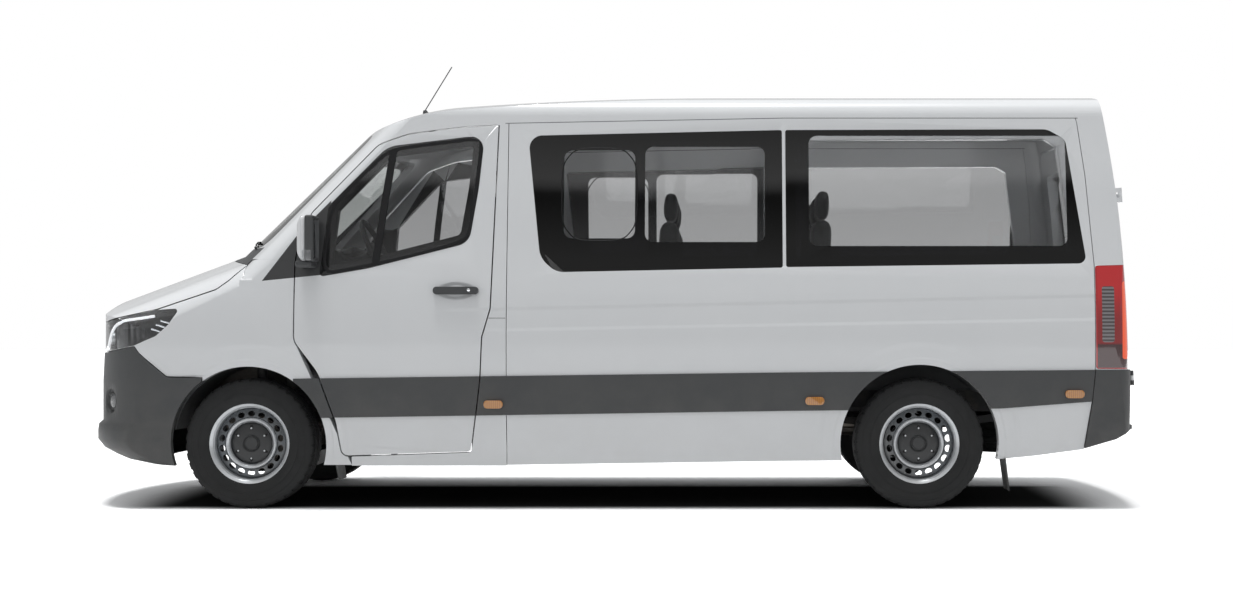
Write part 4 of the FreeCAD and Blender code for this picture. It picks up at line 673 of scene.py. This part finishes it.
rim_silver = stove_paint("rim_silver", (0.52, 0.54, 0.56, 1), (0.62, 0.64, 0.66, 1), 0.25)
# the disc's one silver paint twice: a shaded copy, darkened as painted shade, and a lit copy for the painted
# highlight on its ring
disc_shaded_paint = stove_paint("disc_shaded_paint", (0.060, 0.070, 0.080, 1), (0.085, 0.095, 0.105, 1), 0.30)
disc_lit_paint = stove_paint("disc_lit_paint", (0.50, 0.52, 0.54, 1), (0.60, 0.62, 0.64, 1), 0.25)


def fit(name, mesh, material, body, node, slot, place, right=False):
    """Copy of a wheel's piece, put in its place."""
    work = bmesh.new()
    work.from_mesh(mesh)
    if right:
        mirrored(work)
    bmesh.ops.transform(work, matrix=place, verts=work.verts[:])
    piece_of(name, work, material, body, node=node, slot=slot, smooth=30.0)


for end, axle in (("front", front_axle), ("rear", rear_axle)):
    for side, sign in (("left", 1), ("right", -1)):
        corner = f"{end}_{side}"
        place = Matrix.Translation((axle, sign * half_track, axle_height))
        for name, mesh, material, node, slot in (
                ("tyre_tread", tyre_mesh, rubber, "tyre_", "tyre_rubber"),
                ("wheel_rim", rim_mesh, rim_silver, "wheel_", "wheel_silver"),
                ("wheel_disc", disc_mesh, [disc_shaded_paint, disc_lit_paint], "wheel_", "wheel_silver"),
                ("wheel_cap", cap_mesh, cap_plastic, "wheel_", "dark_plastic"),
                ("wheel_cap_slots", slot_mesh, seal_rubber, "wheel_", "dark_plastic"),
                ("wheel_bolts", bolt_mesh, rim_silver, "wheel_", "wheel_silver")):
            fit(f"{name}_{corner}", mesh, material, "wheel_" + corner, node + corner, slot, place,
                right=side == "right")

# ------------------------------------------------------------------ spare wheel
# The same tyre and steel wheel, lying flat in a cradle under the tail.
low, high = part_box("spare_wheel")
lying = Matrix.Translation(((low.x + high.x) / 2, 0, (low.z + high.z) / 2)) @ upright.inverted()
for name, mesh, material, slot in (("spare_tyre", tyre_mesh, rubber, "tyre_rubber"),
                                   ("spare_rim", rim_mesh, rim_silver, "wheel_silver"),
                                   ("spare_disc", disc_mesh, [disc_shaded_paint, disc_lit_paint], "wheel_silver")):
    fit(name, mesh, material, "root", "spare_wheel", slot, lying)

# ------------------------------------------------------------------ headlights
# Clear polycarbonate lens over a dark housing with two projector lamps, a white strip light along its edge and
# a ladder of chromed slats; a unit bolted between wing, bonnet and bumper.
lamp_clear, tree = finish_of("lamp_clear", Transmission_Weight=1.0, Roughness=0.02, IOR=1.45)
colour_by(tree, dust_of(tree, 0.1), (0.96, 0.97, 0.98, 1), (0.7, 0.69, 0.66, 1))
lamp_black = moulded("lamp_black", 600.0, (0.010, 0.010, 0.011, 1), (0.020, 0.021, 0.022, 1), Roughness=0.35)
strip_light, tree = finish_of("strip_light", Base_Color=(0.9, 0.9, 0.9, 1), Roughness=0.3,
                              Emission_Strength=0.55)
feed(tree, "Emission Color", blend_of(tree, ribs_of(tree, 12.0, "Z"), (0.92, 0.95, 1.0, 1), (1, 1, 1, 1)))
chrome = mottled("chrome", 30.0, 4.0, (0.70, 0.72, 0.74, 1), (0.82, 0.84, 0.86, 1), Metallic=1.0,
                 Roughness=0.12)


def run_of(name, points, radius, material, body, slot):
    """Rounded bar along a smooth line of points."""
    line = bpy.data.curves.new(name, "CURVE")
    line.dimensions = "3D"
    line.bevel_depth, line.bevel_resolution, line.use_fill_caps = radius, 3, True
    spline = line.splines.new("NURBS")
    spline.points.add(len(points) - 1)
    for i, point in enumerate(points):
        spline.points[i].co = (*point, 1)
    spline.order_u, spline.use_endpoint_u = 3, True
    holder = new_object(name + "_line", line)
    work = bmesh.new()
    work.from_mesh(settled(holder))
    bpy.data.objects.remove(holder)
    piece_of(name, work, material, body, slot=slot)


def met(surface, start, way, out=0.0):
    """Point where a ray meets a surface, standing out from it; none where it misses."""
    spot, normal = surface.ray_cast(Vector(start), Vector(way))[:2]
    return spot + normal.normalized() * out if spot else None


# the strip's line along the lens, and the two projectors' places across and heights
STRIP_LINE = ((0.838, 0.872), (0.822, 0.915), (0.800, 0.965), (0.760, 1.008), (0.700, 1.030), (0.620, 1.044),
              (0.520, 1.058))
PROJECTORS = ((0.66, 0.925), (0.745, 0.955))
PROJECTOR_SECTION = [(-0.014, 0.0), (-0.014, 0.030), (0.004, 0.030), (0.006, 0.027), (0.003, 0.024),
                     (0.002, 0.023), (0.009, 0.010), (0.010, 0.0)]
SLATS, SLAT_STEP, SLAT_RISE, SLAT_HALF = 5, 0.0245, 0.0235, 0.026
for side, sign in (("left", 1), ("right", -1)):
    # the lamp's outer faces on this side; the lens is 2.5 mm thick
    lens = bmesh.new()
    lens.from_mesh(nodes["headlights"].data)
    bmesh.ops.remove_doubles(lens, verts=lens.verts[:], dist=0.00001)
    off = [f for f in lens.faces if f.calc_center_median().y * sign < 0 or f.normal.y * sign < 0.02]
    bmesh.ops.delete(lens, geom=off, context="FACES")
    surface = BVHTree.FromBMesh(lens)
    housing = lens.copy()
    for vert in housing.verts:
        vert.normal_update()
    bmesh.ops.solidify(lens, geom=lens.faces[:], thickness=0.0025)
    piece_of("headlight_lens_" + side, lens, lamp_clear, "root", smooth=40.0, node="headlights",
             slot="lamp_glass")
    # the housing is the lens pushed back, with walls and no front
    front = housing.faces[:]
    bmesh.ops.translate(housing, vec=(-0.004, -0.003 * sign, 0), verts=housing.verts[:])
    bmesh.ops.solidify(housing, geom=front, thickness=0.055)
    bmesh.ops.delete(housing, geom=[f for f in front if f.is_valid], context="FACES")
    piece_of("headlight_housing_" + side, housing, lamp_black, "root", slot="dark_plastic", smooth=40.0)

    def behind_lens(at, z, depth):
        """Point behind the lens at a place along and a height."""
        return met(surface, (at, sign * 2, z), (0, -sign, 0), -depth)

    strip = [behind_lens(front_axle + a, z, 0.010) for a, z in STRIP_LINE]
    run_of("headlight_strip_" + side, [p for p in strip if p], 0.0075, strip_light, "root", "lamp_glass")
    # the slats climb along the lens's rear lower edge
    for i in range(SLATS):
        at, z = front_axle + 0.552 - SLAT_STEP * i, 0.930 + SLAT_RISE * i
        bar = [behind_lens(at + step, z + 0.35 * step, 0.014) for step in (-SLAT_HALF, 0.0, SLAT_HALF)]
        if all(bar):
            run_of(f"headlight_slat_{i + 1}_{side}", bar, 0.0048, chrome, "root", "lamp_glass")
    for i, (y, z) in enumerate(PROJECTORS):
        spot = met(surface, (4, sign * y, z), (-1, 0, 0), -0.034)
        if spot:
            projector = turned(PROJECTOR_SECTION, 48)
            aim = Vector((1, 0.35 * sign, 0)).to_track_quat("Y", "Z").to_matrix().to_4x4()
            bmesh.ops.transform(projector, matrix=Matrix.Translation(spot) @ aim, verts=projector.verts[:])
            piece_of(f"headlight_projector_{i + 1}_{side}", projector, chrome, "root", slot="lamp_glass")

# ------------------------------------------------------------------ fog lamps
# Round lamps in the bumper's corner recesses, with a clear lens in a dark bezel, clipped in from behind.
FOG_BEARING = math.radians(43.0)
FOG_BACK, FOG_Y, FOG_Z = 0.252, 0.868, 0.585    # behind the bumper's tip, out from the middle, height
FOG_LENS = [(-0.020, 0.0), (-0.020, 0.036), (-0.004, 0.038), (0.002, 0.034), (0.006, 0.020), (0.008, 0.0)]
FOG_REFLECTOR = [(-0.034, 0.0), (-0.034, 0.037), (-0.021, 0.037), (-0.024, 0.030), (-0.031, 0.012),
                 (-0.030, 0.0)]
FOG_BEZEL = [(-0.030, 0.039), (-0.030, 0.056), (-0.010, 0.056), (0.000, 0.048), (0.003, 0.042), (0.000, 0.039)]
for side, sign in (("left", 1), ("right", -1)):
    ahead = Vector((math.cos(FOG_BEARING), math.sin(FOG_BEARING) * sign, 0))
    centre = Vector((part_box("front_bumper")[1].x - FOG_BACK, sign * FOG_Y, FOG_Z))
    place = Matrix.Translation(centre) @ ahead.to_track_quat("Y", "Z").to_matrix().to_4x4()
    for name, section, material, slot in (("fog_lens", FOG_LENS, clear_lens, "lamp_glass"),
                                          ("fog_reflector", FOG_REFLECTOR, chrome, "lamp_glass"),
                                          ("fog_bezel", FOG_BEZEL, trim_plastic, "dark_plastic")):
        work = turned(section, 48)
        bmesh.ops.transform(work, matrix=place, verts=work.verts[:])
        piece_of(name + "_" + side, work, material, "root", slot=slot)

# ------------------------------------------------------------------ tail lights and side markers
# Red lens wrapped round each rear corner over a ribbed grey reflector, with an amber light guide at its rear
# edge and a smoked lower chamber; bolted to the corner post.  The side markers are amber, clipped in.
LAMP_RED, LAMP_DEEP, LAMP_SMOKE = (0.60, 0.012, 0.016, 1), (0.30, 0.004, 0.006, 1), (0.055, 0.012, 0.014, 1)
LAMP_EDGE, LAMP_AMBER = (0.45, 0.008, 0.012, 1), (0.95, 0.10, 0.015, 1)
tail_lens, tree = finish_of("tail_lens", Roughness=0.06, Coat_Weight=1.0, Coat_Roughness=0.02,
                            Emission_Strength=0.35)
spot, x, y, z = place_on(tree)
tail_low, tail_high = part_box("tail_lights")
ahead = sums(tree, "SUBTRACT", x, tail_low.x)       # of the rear edge
down = sums(tree, "SUBTRACT", tail_high.z, z)       # from the top
ribs = ribs_of(tree, 16.0, "Z")
reflector = oblong(tree, ahead, down, (0.094, 0.161, 0.118, 0.423), 0.014)
colour = blend_of(tree, rise(tree, down, 0.10, 0.34), LAMP_RED, LAMP_DEEP)
grey = blend_of(tree, ribs, (0.045, 0.030, 0.032, 1), (0.26, 0.24, 0.25, 1))
colour = blend_of(tree, reflector, colour, grey)
colour = blend_of(tree, rise(tree, down, 0.425, 0.440), colour, LAMP_SMOKE)
guide = all_of(tree, oblong(tree, ahead, down, (0.010, 0.048, 0.090, 0.515), 0.014),
               rise(tree, sums(tree, "ABSOLUTE", y), 0.905, 0.925))
colour = blend_of(tree, guide, colour, LAMP_AMBER)
border = sums(tree, "SUBTRACT", 1.0, oblong(tree, ahead, down, (-0.2, 0.186, 0.006, 0.562), 0.004))
feed(tree, "Base Color", blend_of(tree, border, colour, LAMP_EDGE))
feed(tree, "Emission Color", blend_of(tree, guide, (0, 0, 0, 1), (0.75, 0.06, 0.01, 1)))
relief_by(tree, all_of(tree, ribs, reflector), 0.001, 0.3)
smooth_copy("tail_lights", tail_lens)
marker_lens, tree = finish_of("marker_lens", Roughness=0.12, Coat_Weight=1.0, Coat_Roughness=0.03)
colour_by(tree, ribs_of(tree, 30.0, "X"), (0.42, 0.15, 0.012, 1), (0.55, 0.22, 0.020, 1))
smooth_copy("side_marker_lamps", marker_lens)

# ------------------------------------------------------------------ door window dividers
# The front doors' windows: a dark upright bar between the fixed quarter light and the drop glass, and a rubber
# seal all round, pushed onto the door's flange.  A chromed lock sits in each handle.
def surface_of(node):
    """A CAD node's surface, for rays to meet."""
    work = bmesh.new()
    work.from_mesh(nodes[node].data)
    made = BVHTree.FromBMesh(work)
    work.free()
    return made


def sheet(lines, closed):
    """Sheet through lines of points, each line extruded to the next."""
    work = bmesh.new()
    verts = [work.verts.new(point) for point in lines[0]]
    ends = verts[1:] + verts[:1] if closed else verts[1:]
    edges = [work.edges.new(pair) for pair in zip(verts, ends)]
    for line in lines[1:]:
        grown = bmesh.ops.extrude_edge_only(work, edges=edges)["geom"]
        copies = {tuple(g.co): g for g in grown if isinstance(g, bmesh.types.BMVert)}
        verts = [copies[tuple(vert.co)] for vert in verts]
        edges = [g for g in grown if isinstance(g, bmesh.types.BMEdge) and set(g.verts) <= set(verts)]
        for vert, point in zip(verts, line):
            vert.co = point
    bmesh.ops.recalc_face_normals(work, faces=work.faces[:])
    return work


def rounded(outline, times=2):
    """Closed outline with its corners cut, each time finer."""
    for _ in range(times):
        finer = []
        for (a0, b0), (a1, b1) in zip(outline, outline[1:] + outline[:1]):
            for share in (0.18, 0.82):
                finer.append((a0 + (a1 - a0) * share, b0 + (b1 - b0) * share))
        outline = finer
    return outline


BAR_LINE = ((-0.777, 1.968), (-0.760, 1.850), (-0.735, 1.680), (-0.712, 1.500), (-0.690, 1.345))
BAR_SECTION = ((-0.021, -0.0005), (-0.017, 0.0035), (0.017, 0.0035), (0.021, -0.0005))   # along, out
SEAL_SECTION = ((0.004, 0.0006), (0.006, 0.0030), (0.021, 0.0030), (0.024, 0.0006))      # inwards, out
SEARCH = (0.0, 0.004, 0.008, 0.014)             # how much further inwards the pane is looked for
LOCK_BACK, LOCK_Z = 1.207, 1.196
seal_line = rounded(DOOR_WINDOW)
for side, sign in (("left", 1), ("right", -1)):
    body = "front_door_" + side
    pane = surface_of("front_door_glass_" + side)
    found = [met(pane, (front_axle + a, sign * 3, z), (0, -sign, 0), 0.001) for a, z in BAR_LINE]
    bar = [point for point in found if point]
    edges = [[point + Vector((along, out * sign, 0)) for point in bar] for along, out in BAR_SECTION]
    work = sheet(edges, closed=False)
    bmesh.ops.solidify(work, geom=work.faces[:], thickness=0.002)
    piece_of("door_window_bar_" + side, work, seal_rubber, body, slot="dark_plastic")
    # the seal lies just inside the pane's edge
    rows = []
    for i, at in enumerate(seal_line):
        step = (Vector(seal_line[(i + 1) % len(seal_line)]) - Vector(seal_line[i - 1])).normalized()
        inwards = Vector((-step.y, step.x))
        row = []
        for deep, out in SEAL_SECTION:
            tries = [Vector(at) + inwards * (deep + more) for more in SEARCH]
            found = [p for p in (met(pane, (t.x, sign * 3, t.y), (0, -sign, 0)) for t in tries) if p]
            if found:
                row.append(found[0] + Vector((0, sign * out, 0)))
        if len(row) == len(SEAL_SECTION):
            rows.append(row)
    work = sheet(list(zip(*rows)), closed=True)
    piece_of("door_window_seal_" + side, work, seal_rubber, body, slot="dark_plastic")
    lock = turned([(0.0, 0.0), (0.0, 0.0085), (0.0025, 0.0085), (0.0035, 0.0070), (0.0035, 0.0)], 32)
    bmesh.ops.translate(lock, vec=(front_axle - LOCK_BACK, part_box("front_door_trim_left")[1].y, LOCK_Z),
                        verts=lock.verts[:])
    if side == "right":
        mirrored(lock)
    piece_of("door_lock_" + side, lock, chrome, body, slot="lamp_glass")

# ------------------------------------------------------------------ sliding panes
# A rubber-framed pane slides in each first side window; its black frame stands a little proud of the glass.
SLIDER_BACK, SLIDER_FRONT, SLIDER_LOW, SLIDER_HIGH = front_axle - 2.119, front_axle - 1.706, 1.468, 1.980
slider_line = rounded([(SLIDER_BACK, SLIDER_LOW), (SLIDER_BACK, SLIDER_HIGH), (SLIDER_FRONT, SLIDER_HIGH),
                       (SLIDER_FRONT, SLIDER_LOW)], 3)
pane = surface_of("side_windows")
for side, sign in (("left", 1), ("right", -1)):
    frame_line = [met(pane, (a, sign * 3, b), (0, -sign, 0)) for a, b in slider_line + slider_line[:1]]
    run_of("sliding_pane_frame_" + side, [p for p in frame_line if p], 0.0032, seal_rubber, "root",
           "dark_plastic")

# ------------------------------------------------------------------ chassis, springs, axles and drive line
# Folded steel ladder frame and the running gear under it: black dip paint, bare cast iron and steel tube.  The
# floor is covered with grained sheet, and the tank and the aerial's foot are plastic.
chassis_black = mottled("chassis_black", 12.0, 7.0, (0.016, 0.016, 0.017, 1), (0.060, 0.054, 0.046, 1),
                        span=(0.45, 0.8), rough=(0.4, 0.4), relief=(0.002, 0.4), Roughness=0.55)
cast_iron = mottled("cast_iron", 90.0, 6.0, (0.10, 0.095, 0.09, 1), (0.22, 0.20, 0.18, 1),
                    rough=(0.3, 0.4), relief=(0.0012, 0.6), Metallic=0.8, Roughness=0.5)
pipe_steel = mottled("pipe_steel", 7.0, 5.0, (0.20, 0.15, 0.11, 1), (0.42, 0.40, 0.38, 1),
                     Metallic=0.9, Roughness=0.4)
floor_cover = moulded("floor_cover", 300.0, (0.050, 0.052, 0.055, 1), (0.090, 0.092, 0.095, 1), Roughness=0.7,
                      relief=(0.001, 0.4))
for material, names in ((chassis_black, ("chassis_frame", "front_suspension", "rear_axle", "seat_frames")),
                        (cast_iron, ("knuckle_left", "knuckle_right", "engine", "gearbox_and_shaft")),
                        (pipe_steel, ("exhaust",)), (floor_cover, ("floor_pan",)),
                        (trim_plastic, ("fuel_tank", "aerial"))):
    for node in names:
        smooth_copy(node, material)

# ------------------------------------------------------------------ dashboard and steering wheel
# Dashboard moulded in grained dark plastic, with a hood over the dials; the wheel's rim is padded.
dash_plastic = moulded("dash_plastic", 500.0, (0.022, 0.023, 0.024, 1), (0.034, 0.035, 0.037, 1),
                       rough=(0.15, 0.5), relief=(0.0006, 0.5), Roughness=0.6)
smooth_copy("dashboard", dash_plastic)
smooth_copy("steering_wheel", dash_plastic)
HOOD_LOW, HOOD_HIGH = Vector((front_axle - 0.500, 0.250, 1.415)), Vector((front_axle - 0.330, 0.610, 1.470))
hood = bmesh.new()
block(hood, HOOD_LOW, HOOD_HIGH, 0.024, 4)
for vert in hood.verts:
    # the top falls forwards, and both ends droop
    fall = 0.25 * (vert.co.x - HOOD_LOW.x) if vert.co.z > 1.44 else 0.0
    vert.co.z -= fall + 0.6 * (vert.co.y - (HOOD_LOW.y + HOOD_HIGH.y) / 2) ** 2
piece_of("dial_hood", hood, dash_plastic, "root", slot="dash_plastic")

# ------------------------------------------------------------------ windscreen wipers
# Two pressed steel arms with rubber blades, parked along the foot of the windscreen and driven from under
# the cowl.
screen = surface_of("windscreen")


def on_screen(y, z, out):
    """Point standing out from the windscreen at a place across and a height."""
    return met(screen, (4, y, z), (-1, 0, 0), out)


BLADE_Z, BLADE_BOW, BLADE_POINTS, PIVOT_Z = 1.464, 0.010, 7, 1.449
for i, (inner, outer, pivot) in enumerate(((0.03, 0.66, 0.62), (-0.66, -0.06, -0.02))):
    blade = []
    for j in range(BLADE_POINTS):
        t = j / (BLADE_POINTS - 1)
        bow = BLADE_BOW * math.sin(math.pi * t)
        blade.append(on_screen(inner + (outer - inner) * t, BLADE_Z + bow, 0.008))
    blade = [p for p in blade if p]
    run_of(f"wiper_blade_{i + 1}", blade, 0.0065, seal_rubber, "root", "dark_plastic")
    middle = blade[len(blade) // 2]
    base = on_screen(pivot, PIVOT_Z, 0.010)
    arm = [base, (base + middle) / 2 + Vector((0.006, 0, 0.002)), middle + Vector((0.004, 0, 0.002))]
    run_of(f"wiper_arm_{i + 1}", arm, 0.0050, trim_plastic, "root", "dark_plastic")

# ------------------------------------------------------------------ seats
# Foam cushions and backs in dark woven cloth, sewn with a channel on each side of the middle panel, on steel
# frames; each place has its own headrest.  The pads are the same at every place, made once and set out.
cloth, tree = finish_of("seat_cloth", Roughness=0.9, Sheen_Weight=0.3, Sheen_Roughness=0.5)
weave = sums(tree, "MAXIMUM", ribs_of(tree, 160.0, "Y"), ribs_of(tree, 160.0, "Z"))
colour_by(tree, all_of(tree, weave, noise_of(tree, 14.0, 4.0)), (0.010, 0.011, 0.012, 1),
          (0.034, 0.036, 0.040, 1))
relief_by(tree, weave, 0.0005, 0.5)
PLACE = 0.470                                   # width of one place
CLOTH_STEPS = 20


def pad(name, size, crown):
    """Foam pad about its own middle: a full-edged oblong, blown up as cloth by its crown at most."""
    work = bmesh.new()
    half = Vector([s / 2 - crown * 0.4 for s in size])
    block(work, -half, half, min(size) * 0.40, 4)
    bmesh.ops.subdivide_edges(work, edges=work.edges[:], cuts=2, use_grid_fill=True)
    made = new_object(name, mesh_of(work, name))
    remesh = made.modifiers.new("remesh", "REMESH")
    remesh.mode, remesh.voxel_size = "VOXEL", 0.012
    mesh = settled(made)
    made.modifiers.clear()
    made.data = mesh
    before = [vert.co.copy() for vert in mesh.vertices]
    puff = made.modifiers.new("puff", "CLOTH")
    puff.settings.use_pressure, puff.settings.uniform_pressure_force = True, 4.0
    puff.settings.effector_weights.gravity = 0.0
    puff.settings.tension_stiffness = puff.settings.compression_stiffness = 30.0
    puff.settings.quality = 5
    puff.point_cache.frame_start, puff.point_cache.frame_end = 1, CLOTH_STEPS
    for step in range(CLOTH_STEPS):
        scene.frame_set(step + 1)
    mesh = settled(made)
    scene.frame_set(1)
    for vert, old in zip(mesh.vertices, before):
        move = vert.co - old
        if move.length > crown:
            vert.co = old + move * (crown / move.length)
    bpy.data.objects.remove(made)
    return mesh


cushion_mesh = pad("cushion_blank", (0.500, PLACE - 0.016, 0.115), 0.012)
back_mesh = pad("back_blank", (0.100, PLACE - 0.030, 0.610), 0.012)
rest_mesh = pad("rest_blank", (0.075, 0.270, 0.170), 0.008)
CHANNEL_AT, CHANNEL_HALF, CHANNEL_DEPTH = 0.145, 0.014, 0.006


def sewn(mesh, place, depth, name, node):
    """Pad set in its place, with a sewn channel pulled in along a line either side of its middle panel."""
    work = bmesh.new()
    work.from_mesh(mesh)
    for vert in work.verts:
        near = abs(abs(vert.co.y) - CHANNEL_AT)
        if near < CHANNEL_HALF:
            vert.co += -vert.normal * depth * (1 - near / CHANNEL_HALF)
    bmesh.ops.transform(work, matrix=place, verts=work.verts[:])
    made = piece_of(name, work, cloth, "root", node=node, slot="seat_cloth", smooth=60.0)
    soft = made.modifiers.new("soft", "SUBSURF")
    soft.levels = soft.render_levels = 1


SEAT_TOP = 1.080
TILT, LEAN = math.radians(3), math.radians(2.5)     # of the cushions and of the backs
back_up = Vector((-math.sin(LEAN), 0, math.cos(LEAN)))
back_turn = Matrix.Rotation(-LEAN, 4, "Y")
# node, front edge from the front axle, its right and left ends, places
for node, ahead, y0, y1, count in (("driver_seat", -0.780, 0.190, 0.670, 1),
                                   ("passenger_bench", -0.780, -0.700, 0.120, 2),
                                   ("second_row_bench", -1.835, -0.760, 0.560, 3),
                                   ("third_row_bench", -2.700, -0.760, 0.760, 3)):
    front_x = front_axle + ahead
    width = (y1 - y0) / count
    stretch = Matrix.Diagonal((1, min(1.0, (width - 0.004) / PLACE), 1, 1))
    for i in range(count):
        middle = y0 + width * (i + 0.5)
        tag = f"{node}_{i + 1}"
        place = Matrix.Translation((front_x - 0.250, middle, SEAT_TOP - 0.066)) @ Matrix.Rotation(TILT, 4, "Y")
        sewn(cushion_mesh, place @ stretch, CHANNEL_DEPTH, "cushion_" + tag, node)
        foot = Vector((front_x - 0.428, middle, SEAT_TOP - 0.030))
        place = Matrix.Translation(foot + back_up * 0.260) @ back_turn @ stretch
        sewn(back_mesh, place, CHANNEL_DEPTH, "back_" + tag, node)
        place = Matrix.Translation(foot + back_up * 0.635) @ back_turn
        sewn(rest_mesh, place, 0.0, "headrest_" + tag, node)
        for j, off in enumerate((-0.06, 0.06)):
            post = [foot + Vector((0, off, 0)) + back_up * up for up in (0.50, 0.54, 0.60)]
            run_of(f"headrest_post_{tag}_{j + 1}", post, 0.006, chrome, "root", "chassis_black")
